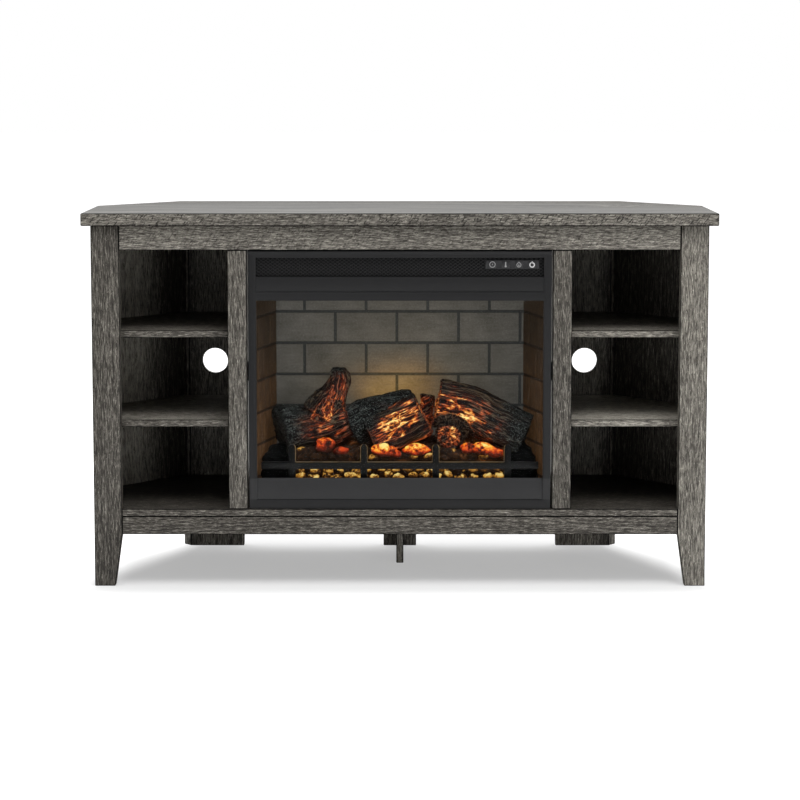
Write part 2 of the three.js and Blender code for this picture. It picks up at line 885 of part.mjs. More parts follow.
// Half the clear width between the side walls, at a depth behind the frame's face
const wallSlope = (windowHalf - screenWidth / 2) / (screenFront - frameDepth);

function wallHalf(depth) {
  return windowHalf - (depth - frameDepth) * wallSlope;
}

const mortarLines = [];
for (let z = trayTop + lowestMortarRise; z < ceilingBottom - mortarWidth; z += courseHeight) {
  mortarLines.push(z);
}

// Brick screen: running bond between mortar grooves, a little off the middle. Flames shine on it from behind
function brickScreen() {
  const half = screenWidth / 2 + wallThick;
  const low = trayTop + seatGap;
  const high = ceilingBottom - seatGap;
  const grooveDepth = [screenFront - overrun, screenFront + mortarDepth];
  const grooves = mortarLines.map((z) => block(
    [-half - overrun, half + overrun],
    grooveDepth,
    [z - mortarWidth / 2, z + mortarWidth / 2],
  ));
  const bottoms = [low - overrun, ...mortarLines];
  bottoms.forEach((bottom, course) => {
    const top = course < mortarLines.length ? mortarLines[course] : high + overrun;
    const stagger = ((course + 1) % 2) / 2;
    for (let joint = -2; joint <= 2; joint += 1) {
      const x = bondShift + (joint + stagger) * brickLength;
      if (Math.abs(x) < half - mortarWidth) {
        grooves.push(block([x - mortarWidth / 2, x + mortarWidth / 2], grooveDepth, [bottom, top]));
      }
    }
  });
  return cut(block([-half, half], [screenFront, screenFront + screenThick], [low, high]), ...grooves);
}

// Side wall: it runs in from the window's edge to the screen's edge, grooved on the same courses
function brickWall() {
  const front = frameDepth + seatGap;
  const back = screenFront - seatGap;
  const low = trayTop + seatGap;
  const high = ceilingBottom - seatGap;
  const strip = (near, far, y0, y1) => [
    [wallHalf(y0) + near, y0],
    [wallHalf(y0) + far, y0],
    [wallHalf(y1) + far, y1],
    [wallHalf(y1) + near, y1],
  ];
  const wall = prism('z', strip(0, wallThick, front, back), [low, high]);
  const level = mortarLines.map((z) => prism(
    'z',
    strip(-overrun, mortarDepth, front - overrun, back + overrun),
    [z - mortarWidth / 2, z + mortarWidth / 2],
  ));
  const upright = mortarLines.slice(0, -1).map((z, course) => {
    const y = front + (back - front) * (course % 2 ? 1 / 3 : 2 / 3);
    const groove = strip(-overrun, mortarDepth, y - mortarWidth / 2, y + mortarWidth / 2);
    return prism('z', groove, [z, z + courseHeight]);
  });
  return cut(wall, ...level, ...upright);
}

// The slot in the tray through which the light board shines up into the embers
const emberBoardY = screenFront - 2 * emberBoardDepth;
const ledCount = Math.floor(emberBoardWidth / ledPitch);
const ledPlaces = Array.from({ length: ledCount }, (_, i) => (i - (ledCount - 1) / 2) * ledPitch);

// Log tray: a folded sheet table that stands on the housing's floor
function logTray() {
  const half = housingInner - seatGap;
  const front = frameDepth + 2 * sheet;
  const back = screenFront + screenThick + 2 * sheet;
  return cut(
    block([-half, half], [front, back], [sheet, trayTop]),
    block([-half - overrun, half + overrun], [front + sheet, back - sheet], [sheet - overrun, trayHeight]),
    block(
      [-emberBoardWidth / 2 + ledDiameter, emberBoardWidth / 2 - ledDiameter],
      [emberBoardY - ledDiameter, emberBoardY + ledDiameter],
      [trayHeight - overrun, trayTop + overrun],
    ),
  );
}

// Ember light board: it hangs under the tray, with its lights up in the slot
function emberLedBoard() {
  const top = trayHeight - seatGap;
  const board = block(
    [-emberBoardWidth / 2, emberBoardWidth / 2],
    [emberBoardY - emberBoardDepth / 2, emberBoardY + emberBoardDepth / 2],
    [top - ledBoardThick, top],
  );
  const lights = ledPlaces.map((x) => bar(
    'z',
    ledDiameter,
    [x, emberBoardY],
    [top - ledBoardThick / 2, top + ledHeight],
    smallSides,
  ));
  return joined(board, ...lights);
}

// Flame light board: it stands behind the tray and lights the rotor
function flameLedBoard() {
  const front = screenFront + screenThick + 2 * sheet + seatGap;
  const board = block(
    [-flameBoardWidth / 2, flameBoardWidth / 2],
    [front, front + ledBoardThick],
    [sheet, sheet + flameBoardHeight],
  );
  const lights = ledPlaces.map((x) => bar(
    'y',
    ledDiameter,
    [x, sheet + flameBoardHeight * 2 / 3],
    [front + ledBoardThick / 2, front + ledBoardThick + ledHeight],
    smallSides,
  ));
  return joined(board, ...lights);
}

// Ceiling: a sheet that divides the firebox from the heater above it
function ceiling() {
  const half = housingInner - seatGap;
  return cut(
    block(
      [-half, half],
      [frameDepth + 2 * sheet, housingBack - sheet],
      [ceilingBottom - 2 * sheet, ceilingTop],
    ),
    block(
      [sheet - half, half - sheet],
      [frameDepth - overrun, housingBack + overrun],
      [ceilingBottom - 2 * sheet - overrun, ceilingBottom],
    ),
  );
}

// Grate: a bar on four flat uprights that stand on the tray
function grate() {
  const depth = [frameDepth + grateSetback, frameDepth + grateSetback + grateDepth];
  const rail = block(
    [-grateWidth / 2, grateWidth / 2],
    depth,
    [trayTop + grateBarRise, trayTop + grateBarRise + grateBarHeight],
  );
  const top = trayTop + gratePostHeight;
  const shoulder = top - gratePostWidth / 3;
  const uprights = [-1.5, -0.5, 0.5, 1.5].map((place) => {
    const x = place * gratePostPitch;
    const half = gratePostWidth / 2;
    return prism('y', [
      [x - half, trayTop],
      [x + half, trayTop],
      [x + half, shoulder],
      [x + half / 2, top],
      [x - half / 2, top],
      [x - half, shoulder],
    ], depth);
  });
  return joined(rail, ...uprights);
}

// The room that the logs and embers share: behind the grate, inside the walls and in front of the screen
const roomFront = frameDepth + grateSetback + grateDepth + seatGap;
const roomBack = screenFront - seatGap;

function inRoom(geometry) {
  const outline = bothHalves([
    [wallHalf(roomFront) - seatGap, roomFront],
    [wallHalf(roomBack) - seatGap, roomBack],
  ]);
  return common(geometry, prism('z', outline, [trayTop, ceilingBottom - seatGap]));
}

// Logs. Each is grown by the seat gap where it is the tool that notches another piece
const tapered = (radius, ...taper) => taper.map((share) => radius * share);
const leftLog = (grow = 0) => joined(
  logAlong(leftLogShares, tapered(leftLogRadius, 1, 1, 1, 0.9), grow),
  logAlong(branchShares, [...tapered(branchRadius, 1, 0.8, 0.6, 0.51), branchTipRadius], grow),
);
const centreLog = (grow = 0) => joined(
  logAlong(centreLogShares, tapered(centreLogRadius, 0.91, 0.98, 1), grow),
  logAlong(chipShares, [chipRadius, chipRadius], grow, coarseSides),
);
const rightLog = (grow = 0) => joined(
  logAlong(rightLogShares, tapered(rightLogRadius, 1, 1, 0.96, 0.91), grow),
  logAlong(stubShares, [stubRadius, stubRadius], grow),
);
const rearLog = (grow = 0) => logAlong(rearLogShares, tapered(rearLogRadius, 1, 0.85, 0.75), grow);

// Ember bed: a lumpy moulding, higher at the back, with a hollow under each log
const bedFront = frameDepth + bedSetback;
const bedBack = screenFront - 2 * seatGap;

function emberBed() {
  const lump = (across, row) => coalHeight * Math.abs(Math.sin(Math.PI * (coalCount * across + row / 2)))
    * (0.7 + 0.3 * Math.sin(9 * across + 2 * row));
  const grid = new THREE.BoxGeometry(1, 1, 1, 4 * coalCount, bedRows, bedTiers);
  const bed = reshaped(grid, (u, v, w) => {
    const across = u + 0.5;
    const back = v + 0.5;
    const up = w + 0.5;
    const row = Math.round(bedRows * back);
    const height = THREE.MathUtils.lerp(bedFrontHeight, bedRearHeight, back) + lump(across, row);
    const bulge = row === 0 && up > 0 && up < 1 ? lump(across, 1) / 4 : 0;
    return [u * bedWidth, THREE.MathUtils.lerp(bedFront, bedBack, back) - bulge, trayTop + up * height];
  });
  return cut(bed, leftLog(seatGap), centreLog(seatGap), rightLog(seatGap), rearLog(seatGap));
}

// Char block: a dark broken lump that fills the tray beyond the end of the ember bed
function charBlock() {
  const inner = bedWidth / 2 + charEndGap;
  const grid = new THREE.BoxGeometry(1, 1, 1, 4, 4, 3);
  return reshaped(grid, (u, v, w) => {
    const up = w + 0.5;
    const lean = 1 - 0.35 * up * up;
    const crown = 1 - 0.5 * (v * v + u * u) - 0.1 * Math.abs(Math.sin(7 * u + 5 * v));
    const y = bedFront + (v * lean + 0.5) * charDepth;
    const x = THREE.MathUtils.lerp(inner, wallHalf(y) - 2 * seatGap, u * lean + 0.5);
    return [x, y, trayTop + up * charHeight * (up > 0.9 ? crown : 1)];
  });
}

// Flame rotor: a shaft with reflecting petals in pairs, each pair turned on from the last
const rotorY = screenFront + screenThick + rotorSetback;
const rotorCentre = [rotorY, rotorRise];

function flameRotor() {
  const half = rotorSpan / 2;
  const petalCount = Math.floor((rotorSpan - 2 * petalWidth) / petalPitch) + 1;
  const step = (rotorSpan - 2 * petalWidth) / (petalCount - 1);
  const shaftEnds = [-half - 2 * sheet, half + flameMotorLength / 2];
  const shaft = bar('x', rotorShaft, rotorCentre, shaftEnds, coarseSides);
  const petals = Array.from({ length: petalCount }, (_, i) => {
    const x = -half + petalWidth + i * step;
    const petal = prism('z', [
      [-petalWidth / 2, -rotorRadius * 0.8],
      [petalWidth / 4, -rotorRadius],
      [petalWidth / 2, -rotorShaft / 2],
      [petalWidth / 2, rotorRadius * 0.8],
      [-petalWidth / 4, rotorRadius],
      [-petalWidth / 2, rotorShaft / 2],
    ], [-petalThick / 2, petalThick / 2]);
    return petal.rotateX(2 * Math.PI * petalTurnShare * i).translate(x, ...rotorCentre);
  });
  return joined(shaft, ...petals);
}

// A sheet plate on a foot that stands on the housing's floor, between two values along the shaft
function footedPlate([x0, x1], footReach) {
  const width = [rotorY - bearingPlate / 2, rotorY + bearingPlate / 2];
  return joined(
    block([x0, x1], width, [sheet, rotorRise + bearingPlate / 2]),
    block([Math.min(x0, x0 + footReach), Math.max(x1, x1 + footReach)], width, [sheet, 2 * sheet]),
  );
}

function rotorBearing() {
  const x = -rotorSpan / 2 - sheet;
  const plate = footedPlate([x, x + sheet], bearingPlate / 2);
  const hole = bar('x', rotorShaft + 2 * shaftGap, rotorCentre, [x - overrun, x + sheet + overrun], coarseSides);
  return cut(plate, hole);
}

function flameMotor() {
  const x = rotorSpan / 2;
  const body = joined(
    footedPlate([x, x + sheet], -bearingPlate / 2),
    bar('x', flameMotorDiameter, rotorCentre, [x + sheet / 2, x + flameMotorLength], fineSides),
    bar('x', flameMotorDiameter / 3, rotorCentre, [x + sheet, x + flameMotorLength * 1.15], coarseSides),
  );
  const bore = [x - overrun, x + flameMotorLength * 0.6];
  return cut(body, bar('x', rotorShaft + 2 * shaftGap, rotorCentre, bore, coarseSides));
}

// Power board on standoffs, with a choke, a relay and two capacitors
function powerBoard() {
  const low = sheet + standoffHeight;
  const back = housingBack - 2 * sheet;
  const y = [back - powerBoardDepth, back];
  const x0 = -powerBoardWidth / 2;
  const standoffs = [0.06, 0.94].flatMap((u) => [0.15, 0.85].map((v) => bar(
    'z',
    standoffDiameter,
    [x0 + u * powerBoardWidth, y[0] + v * powerBoardDepth],
    [sheet, low + ledBoardThick / 2],
    coarseSides,
  )));
  const top = low + ledBoardThick;
  const part = (u0, u1, v0, v1, rise) => block(
    [x0 + u0 * powerBoardWidth, x0 + u1 * powerBoardWidth],
    [y[0] + v0 * powerBoardDepth, y[0] + v1 * powerBoardDepth],
    [low + ledBoardThick / 2, top + rise * powerBoardDepth],
  );
  const capacitor = (u) => bar(
    'z',
    powerBoardDepth * 0.3,
    [x0 + u * powerBoardWidth, y[0] + powerBoardDepth / 2],
    [low + ledBoardThick / 2, top + powerBoardDepth * 0.45],
    coarseSides,
  );
  return joined(
    block([x0, -x0], y, [low, top]),
    ...standoffs,
    part(0.14, 0.34, 0.25, 0.75, 0.4),
    part(0.42, 0.55, 0.2, 0.8, 0.35),
    capacitor(0.66),
    capacitor(0.8),
  );
}

// Blower. The wheel is a cage of swept blades between three discs, with a stub shaft at each end
const wheelRadius = wheelDiameter / 2;
const scrollInner = wheelRadius + scrollGap;
const scrollOuter = scrollInner + scrollGrowth + scrollWall;
const wheelY = frameDepth + wheelSetback;
const wheelZ = ceilingTop + scrollOuter + seatGap;
const wheelCentre = [wheelY, wheelZ];
const cheek = wheelLength / 2 + scrollGap;

function blowerWheel() {
  const half = wheelLength / 2;
  const arc = (radiusShare, offset) => {
    const radius = wheelRadius - bladeThick / 2 - bladeLength * (1 - radiusShare);
    const angle = bladeSweep * (1 - radiusShare) ** 2 + offset / radius;
    return [radius * Math.cos(angle), radius * Math.sin(angle)];
  };
  const stations = [1, 0.5, 0];
  const section = [
    ...stations.map((share) => arc(share, -bladeThick / 2)),
    ...[...stations].reverse().map((share) => arc(share, bladeThick / 2)),
  ];
  const blades = Array.from({ length: bladeCount }, (_, i) => {
    const blade = prism('x', section, [wheelDisc / 2 - half, half - wheelDisc / 2]);
    return solidOf(blade.rotateX(2 * Math.PI * i / bladeCount).translate(0, ...wheelCentre));
  });
  const discs = [-half, -wheelDisc / 2, half - wheelDisc].map((x) => solidOf(
    bar('x', wheelDiameter, wheelCentre, [x, x + wheelDisc], 2 * bladeCount),
  ));
  const stubSpans = [
    [-cheek - scrollWall, -half + wheelDisc / 2],
    [half - wheelDisc / 2, cheek + blowerMotorLength / 2],
  ];
  const stubs = stubSpans.map((span) => solidOf(bar('x', blowerShaft, wheelCentre, span, coarseSides)));
  return geometryOf(wasm.Manifold.union([...blades, ...discs, ...stubs]));
}

// Blower scroll: its wall opens out round the wheel to an outlet that faces the heater, between two cheeks
function blowerScroll() {
  const spiral = (extra) => Array.from({ length: scrollSteps + 1 }, (_, i) => {
    const turn = i / scrollSteps;
    const angle = Math.PI * (0.95 - 1.45 * turn);
    const radius = scrollInner + scrollGrowth * turn + extra;
    return [wheelY + radius * Math.cos(angle), wheelZ + radius * Math.sin(angle)];
  });
  const outletLength = wheelSetback - heaterSetback - heaterDepth - seatGap;
  const lip = [wheelY - outletLength, wheelZ - scrollInner - scrollGrowth];
  const inner = [...spiral(0), lip];
  const outer = [...spiral(scrollWall), [lip[0], lip[1] - scrollWall]];
  const wall = prism('x', [...inner, ...outer.reverse()], [-cheek - scrollWall / 2, cheek + scrollWall / 2]);
  const cheekOutline = [...spiral(scrollWall), [lip[0], lip[1] - scrollWall], [lip[0], wheelZ]];
  const cheeks = [[-cheek - scrollWall, -cheek], [cheek, cheek + scrollWall]]
    .map((span) => prism('x', cheekOutline, span));
  const foot = block(
    [-cheek - scrollWall, cheek + scrollWall],
    [wheelY - scrollInner, wheelY + scrollInner],
    [ceilingTop, wheelZ - scrollInner - scrollGrowth - scrollWall / 2],
  );
  const room = bar('x', 2 * (scrollInner + scrollGrowth), wheelCentre, [-cheek, cheek], fineSides);
  const shaftHole = bar('x', blowerShaft + 2 * shaftGap, wheelCentre, [-2 * cheek, 2 * cheek], coarseSides);
  return cut(joined(wall, ...cheeks, cut(foot, room)), shaftHole);
}

function blowerMotor() {
  const x = cheek + scrollWall + seatGap;
  const foot = block(
    [x + sheet, x + blowerMotorLength - sheet],
    [wheelY - blowerMotorDiameter / 3, wheelY + blowerMotorDiameter / 3],
    [ceilingTop, wheelZ - blowerMotorDiameter / 3],
  );
  const body = joined(
    bar('x', blowerMotorDiameter, wheelCentre, [x, x + blowerMotorLength], fineSides),
    bar('x', blowerMotorDiameter / 3, wheelCentre, [x + sheet, x + blowerMotorLength * 1.1], coarseSides),
    foot,
  );
  const bore = [x - overrun, x + blowerMotorLength / 2 + seatGap];
  return cut(body, bar('x', blowerShaft + 2 * shaftGap, wheelCentre, bore, coarseSides));
}

// Heater: a frame of upright fins in the air path between the scroll and the grille
function heater() {
  const y = [frameDepth + heaterSetback, frameDepth + heaterSetback + heaterDepth];
  const half = heaterWidth / 2;
  const frame = cut(
    block([-half, half], y, [ceilingTop, ceilingTop + heaterHeight]),
    block(
      [heaterFrame - half, half - heaterFrame],
      [y[0] - overrun, y[1] + overrun],
      [ceilingTop + heaterFrame, ceilingTop + heaterHeight - heaterFrame],
    ),
  );
  const pitch = (heaterWidth - 2 * heaterFrame) / (heaterFins + 1);
  const fins = Array.from({ length: heaterFins }, (_, i) => {
    const x = heaterFrame - half + (i + 1) * pitch;
    return block(
      [x - heaterFinThick / 2, x + heaterFinThick / 2],
      [y[0] + heaterFrame / 2, y[1] - heaterFrame / 2],
      [ceilingTop + heaterFrame / 2, ceilingTop + heaterHeight - heaterFrame / 2],
    );
  });
  return joined(frame, ...fins);
}

function buildInsert() {
  add(insert, 'front_frame', frontFrame(), charcoal);
  add(insert, 'vent_grille', ventGrille(), meshBlack);
  add(insert, 'control_strip', controlStrip(), stripBlack);
  ['timer_key', 'heat_key', 'flame_key', 'power_key'].forEach((name, i) => {
    add(insert, name, key(keyCentres[i]), keyBlack);
  });
  add(insert, 'control_board', controlBoard(), boardGreen);
  add(insert, 'glass', glassPane(), smokedGlass);
  add(insert, 'insert_housing', housing(), steel);
  add(insert, 'back_cover', backCover(), steel);
  add(insert, 'cord_gland', cordGland(), rubber);
  addPair(insert, 'bracket', bracket(), steel);
  add(insert, 'brick_screen', brickScreen(), brickPrint);
  addPair(insert, 'brick_wall', brickWall(), sideBrick);
  add(insert, 'log_tray', logTray(), steel);
  add(insert, 'firebox_ceiling', ceiling(), steel);
  add(insert, 'grate', grate(), grateBlack);
  add(insert, 'ember_bed', emberBed(), embers);
  addPair(insert, 'char_block', cut(charBlock(), rightLog(seatGap), mirrored(leftLog(seatGap))), charred);
  add(insert, 'left_log', inRoom(leftLog()), bark);
  add(insert, 'centre_log', inRoom(centreLog()), bark);
  add(insert, 'right_log', inRoom(cut(rightLog(), centreLog(seatGap))), bark);
  const rearLogNotched = cut(rearLog(), leftLog(seatGap), centreLog(seatGap), rightLog(seatGap));
  add(insert, 'rear_log', inRoom(rearLogNotched), charred);
  add(insert, 'ember_led_board', emberLedBoard(), boardGreen);
  add(insert, 'flame_led_board', flameLedBoard(), boardGreen);
  add(insert, 'flame_rotor', flameRotor(), reflector);
  add(insert, 'rotor_bearing', rotorBearing(), steel);
  add(insert, 'flame_motor', flameMotor(), motorGrey);
  add(insert, 'power_board', powerBoard(), boardGreen);
  add(insert, 'blower_wheel', blowerWheel(), wheelGrey);
  add(insert, 'blower_scroll', blowerScroll(), steel);
  add(insert, 'blower_motor', blowerMotor(), motorGrey);
  add(insert, 'heater', heater(), heaterMetal);
}

buildCabinet();
buildInsert();

export default stand;
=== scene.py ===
"""Corner TV stand in grey laminate with an electric log-set fireplace insert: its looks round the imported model."""
import math
import random
from functools import cached_property

import bmesh
import bpy
from mathutils import Matrix, Vector, noise


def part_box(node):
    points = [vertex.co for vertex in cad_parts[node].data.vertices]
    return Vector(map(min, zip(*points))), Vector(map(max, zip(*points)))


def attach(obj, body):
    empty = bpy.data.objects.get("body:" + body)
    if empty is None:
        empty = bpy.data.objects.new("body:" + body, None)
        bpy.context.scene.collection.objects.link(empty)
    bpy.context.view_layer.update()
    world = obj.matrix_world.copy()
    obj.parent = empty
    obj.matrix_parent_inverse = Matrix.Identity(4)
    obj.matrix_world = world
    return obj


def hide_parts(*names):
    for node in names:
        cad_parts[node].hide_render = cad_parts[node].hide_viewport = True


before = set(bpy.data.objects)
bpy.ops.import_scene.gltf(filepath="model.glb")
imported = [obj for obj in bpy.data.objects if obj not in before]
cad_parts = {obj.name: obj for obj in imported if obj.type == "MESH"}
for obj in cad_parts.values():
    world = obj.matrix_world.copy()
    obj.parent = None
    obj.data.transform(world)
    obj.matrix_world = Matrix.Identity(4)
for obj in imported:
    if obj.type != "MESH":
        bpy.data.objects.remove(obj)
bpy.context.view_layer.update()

MM = 0.001
STAND = "stand"

# The insert's own origin in the row frame, in millimetres: its face, and the deck that it stands on
INSERT_FACE = -183.5
INSERT_DECK = 157.0


def insert_point(x, y, z):
    """A point given in the insert's own millimetres, in the row frame in metres."""
    return Vector((x, y + INSERT_FACE, z + INSERT_DECK)) * MM


# The photograph's scale at the logs' depth: pixels to a metre, the column of the stand's middle, and a row's height
PIXELS = 491.2
MIDDLE_COLUMN = 399.8
LEVEL_ROW, LEVEL_HEIGHT = 70, 1.036


def glass_point(column, row):
    """The x and z in metres, at the logs' depth, of what the photograph shows at a column and row."""
    return (column - MIDDLE_COLUMN) / PIXELS, LEVEL_HEIGHT - (row - LEVEL_ROW) / PIXELS


# ------ camera
def set_camera():
    """The photograph's viewing angle, tilted down so that the stand stays in the picture from all sides."""
    data = bpy.data.cameras.new("camera")
    data.lens = 95.66
    data.sensor_width = 36
    data.shift_x = 0.0002
    data.shift_y = -0.158
    camera = bpy.data.objects.new("camera", data)
    camera.location = (0.0, -4.3865, LEVEL_HEIGHT)
    camera.rotation_euler = (math.radians(84.5), 0, 0)
    bpy.context.scene.collection.objects.link(camera)
    bpy.context.scene.camera = camera


# ------ finishes
BLACK = (0, 0, 0, 1)
WHITE = (1, 1, 1, 1)


def paint(red, green, blue):
    """A colour as it looks on screen, from 0 to 255, as the shader takes it."""
    def linear(level):
        level = level / 255
        return level / 12.92 if level <= 0.04045 else ((level + 0.055) / 1.055) ** 2.4
    return (linear(red), linear(green), linear(blue), 1.0)


class Value:
    """A shader socket that can be used in sums. Each sum adds its Math node."""

    def __init__(self, finish, socket):
        self.finish = finish
        self.socket = socket

    def __add__(self, other):
        return self.finish.maths("ADD", self, other)

    def __radd__(self, other):
        return self.finish.maths("ADD", other, self)

    def __sub__(self, other):
        return self.finish.maths("SUBTRACT", self, other)

    def __rsub__(self, other):
        return self.finish.maths("SUBTRACT", other, self)

    def __mul__(self, other):
        return self.finish.maths("MULTIPLY", self, other)

    def __rmul__(self, other):
        return self.finish.maths("MULTIPLY", other, self)

    def __abs__(self):
        return self.finish.maths("ABSOLUTE", self)


class Finish:
    """A material, or the world, that is being made."""

    def __init__(self, name, kind="Material"):
        self.kind = kind
        self.made = (bpy.data.worlds if kind == "World" else bpy.data.materials).new(name)
        self.made.use_nodes = True
        self.tree = self.made.node_tree
        self.tree.nodes.clear()

    def node(self, kind, settings=None, inputs=None, output=0):
        """Adds a shader node, with its settings and its sockets' values or links, and gives one output."""
        added = self.tree.nodes.new(f"ShaderNode{kind}")
        for name, setting in (settings or {}).items():
            if name == "stops":
                self.set_stops(added.color_ramp, setting)
            else:
                setattr(added, name, setting)
        for name, given in (inputs or {}).items():
            if isinstance(given, Value):
                self.tree.links.new(given.socket, added.inputs[name])
            else:
                added.inputs[name].default_value = given
        return Value(self, added.outputs[output])

    @staticmethod
    def set_stops(ramp, stops):
        for element, (place, colour) in ((ramp.elements[0], stops[0]), (ramp.elements[1], stops[-1])):
            element.position = place
            element.color = colour
        for place, colour in stops[1:-1]:
            ramp.elements.new(place).color = colour

    def maths(self, operation, first, second=0.0):
        return self.node("Math", {"operation": operation}, {0: first, 1: second})

    @cached_property
    def place(self):
        return self.node("TexCoord", output="Object")

    def attribute(self, name, output="Vector"):
        return self.node("Attribute", {"attribute_name": name}, output=output)

    def parts(self, vector):
        return [self.node("SeparateXYZ", None, {0: vector}, i) for i in range(3)]

    def vector(self, x, y, z):
        return self.node("CombineXYZ", None, {0: x, 1: y, 2: z})

    def scaled(self, vector, scale, turn=(0, 0, 0), shift=(0, 0, 0)):
        given = {"Vector": vector, "Scale": scale, "Rotation": turn, "Location": shift}
        return self.node("Mapping", None, given)

    def noise(self, vector=None, detail=2.0, roughness=0.5, scale=1.0):
        """Soft noise, over the piece's own place where no vector is given."""
        given = {"Vector": vector or self.place, "Scale": scale, "Detail": detail, "Roughness": roughness}
        return self.node("TexNoise", None, given)

    def warped(self, vector, scale, amount):
        """The vector, pushed about by a soft noise."""
        drift = self.node("TexNoise", None, {"Vector": vector, "Scale": scale, "Detail": 2.0}, "Color")
        return self.node("VectorMath", {"operation": "MULTIPLY_ADD"}, {0: drift, 1: (amount,) * 3, 2: vector})

    def cells(self, vector, scale, feature, output):
        return self.node("TexVoronoi", {"feature": feature}, {"Vector": vector, "Scale": scale}, output)

    def between(self, value, low, high, first=0.0, last=1.0):
        """A smooth step: first where the value is below low, last where it is above high."""
        settings = {"interpolation_type": "SMOOTHSTEP"}
        given = {"Value": value, "From Min": low, "From Max": high, "To Min": first, "To Max": last}
        return self.node("MapRange", settings, given)

    def mixed(self, share, first, second, blend="MIX"):
        """A mix of two colours. The node's sockets for colours are 6, 7 and the output 2."""
        settings = {"data_type": "RGBA", "blend_type": blend}
        return self.node("Mix", settings, {0: share, 6: first, 7: second}, 2)

    def by(self, first, second):
        """One colour multiplied by another."""
        return self.mixed(1.0, first, second, "MULTIPLY")

    def ramp(self, value, stops):
        """Colours along a value, from stops that give a place and a colour from 0 to 255."""
        colours = [(place, paint(*colour)) for place, *colour in stops]
        return self.node("ValToRGB", {"stops": colours}, {0: value})

    def bump(self, height, distance, strength=1.0):
        return self.node("Bump", None, {"Height": height, "Distance": distance, "Strength": strength})

    def principled(self, **sockets):
        """Ends the material with the Principled shader, whose sockets are named with _ for a space."""
        given = {name.replace("_", " "): value for name, value in sockets.items()}
        return self.done(self.node("BsdfPrincipled", None, given))

    def done(self, shader):
        output = self.tree.nodes.new(f"ShaderNodeOutput{self.kind}")
        self.tree.links.new(shader.socket, output.inputs["Surface"])
        return self.made


OAK_STOPS = [
    (0.0, 36, 33, 29),
    (0.3, 72, 68, 62),
    (0.5, 104, 100, 93),
    (0.7, 134, 130, 121),
    (1.0, 182, 177, 166),
]


def oak(name, upright, shift, tone=0.0, figure=0.0, rays=0.0, dim_top=0.0, inside=None, top=False, foot=0.0,
        ends=0.0):
    """Printed oak laminate: short fine fibres in wider streaks, pores, pale flecks, slanting rays and scratches.
    Tone, foot and ends lighten or darken all of it, its lowest and its outer parts. The upper-face value paints
    shade on its upper face, or painted light where it is below 0. Inside gives two distances from the stand's
    middle, and the painted shade or light at each on faces that turn inwards. A top's upper face gets a painted
    sheen."""
    f = Finish(name)
    x, y, z = f.parts(f.place)
    along, across = (z, x) if upright else (x, z)
    along = along + shift
    across = across + shift * 0.31
    wander = (f.noise(f.vector(along * 4, across * 11, y * 11), detail=2) - 0.5) * 0.012
    across = across + wander
    deep = y + wander
    turned_x, turned_y, facing = f.parts(f.node("NewGeometry", output="Normal"))
    if top:
        # On the board's ends and slanted edges the grain runs along them, as an edge band's does
        banded = f.between(abs(turned_x), 0.3, 0.6)
        along = along + (y * turned_x - x * turned_y - along) * banded
        deep = deep + (x * turned_x + y * turned_y + wander - deep) * banded

    def marks(length, width, detail=1, roughness=0.5, aside=0.0):
        """Noise that the grain draws out, with so many waves to a metre along and across it."""
        sideways = across * width + aside if aside else across * width
        return f.noise(f.vector(along * length, sideways, deep * width), detail, roughness)

    fibre = marks(46 if upright else 68, 540, 3, 0.7)
    streak = marks(9, 210, 3, 0.65)
    broad = marks(2.2, 30)
    patch = marks(3.1, 9)
    pores = f.between(marks(150, 640), 0.3, 0.4, 1.0, 0.0)
    flecks = f.between(marks(190, 520, aside=40), 0.62, 0.72)
    scratch = f.between(marks(330, 34), 0.74, 0.82) * f.between(patch, 0.5, 0.62)
    level = (0.49 + tone + (fibre - 0.5) * 2.2 + (streak - 0.5) * 0.45 + (broad - 0.5) * 0.12
             - pores * 0.24 + flecks * 0.26 + scratch * 0.25)
    if figure:
        level = level + f.maths("SINE", (across + marks(2.2, 4.2) * 0.12) * 700) * figure
    if rays:
        slant = f.vector((along * 0.6 + across * 0.8) * 84, (across * 0.6 - along * 0.8) * 330, deep * 330)
        stroke = f.between(f.noise(slant, detail=2, roughness=0.55), 0.56, 0.63)
        level = level - stroke * f.between(patch, 0.36, 0.52, 0.3, 1.0) * rays
    # Painted shade on faces that turn inwards, deepest towards the corners, and painted light where the change is
    # above 0
    if inside:
        inwards = f.between(turned_x * f.maths("SIGN", x) + turned_y, -0.9, -0.5, 1.0, 0.0)
        level = level + inwards * f.between(abs(x), *inside)
    if ends:
        level = level + f.between(abs(x), 0.15, 0.5, 0.0, ends)
    if foot:
        level = level + f.between(z, 0.1, 0.16, foot, 0.0)
    # Painted shade on the upper face, or painted light where the value is below 0
    if dim_top:
        level = level - f.between(facing, 0.7, 0.95) * dim_top
    # The upper face's grain is calmer; its level is raised and its colour mixed toward light grey as a painted sheen
    if top:
        face = f.between(facing, 0.7, 0.95)
        lines = f.noise(f.vector(along * 2.5, deep * 62, 0.0), detail=3, roughness=0.6)
        calm = 0.54 + (level - 0.5) * 0.22 + (lines - 0.5) * 1.6
        level = level + (calm - level) * face
    colour = f.ramp(level, OAK_STOPS)
    if top:
        colour = f.mixed(face * 0.6, colour, paint(107, 108, 109))
    return f.principled(
        Base_Color=colour,
        Roughness=f.between(level, 0.2, 0.9, 0.62, 0.46),
        Normal=f.bump(level, 0.0003, 0.5),
        Specular_IOR_Level=0.3,
    )


def seam_and_gap_shade():
    """The dark line that the laminate leaves along a board's edges, made near black as painted shade of the gaps
    between boards.
    """
    f = Finish("oak_seam_and_gap_shade")
    grit = f.noise(detail=2, scale=300)
    return f.principled(
        Base_Color=f.mixed(f.between(grit, 0.3, 0.7), paint(5, 5, 4), paint(20, 19, 17)),
        Roughness=0.8,
        Specular_IOR_Level=0.1,
    )


COAT_GRAIN = 1400


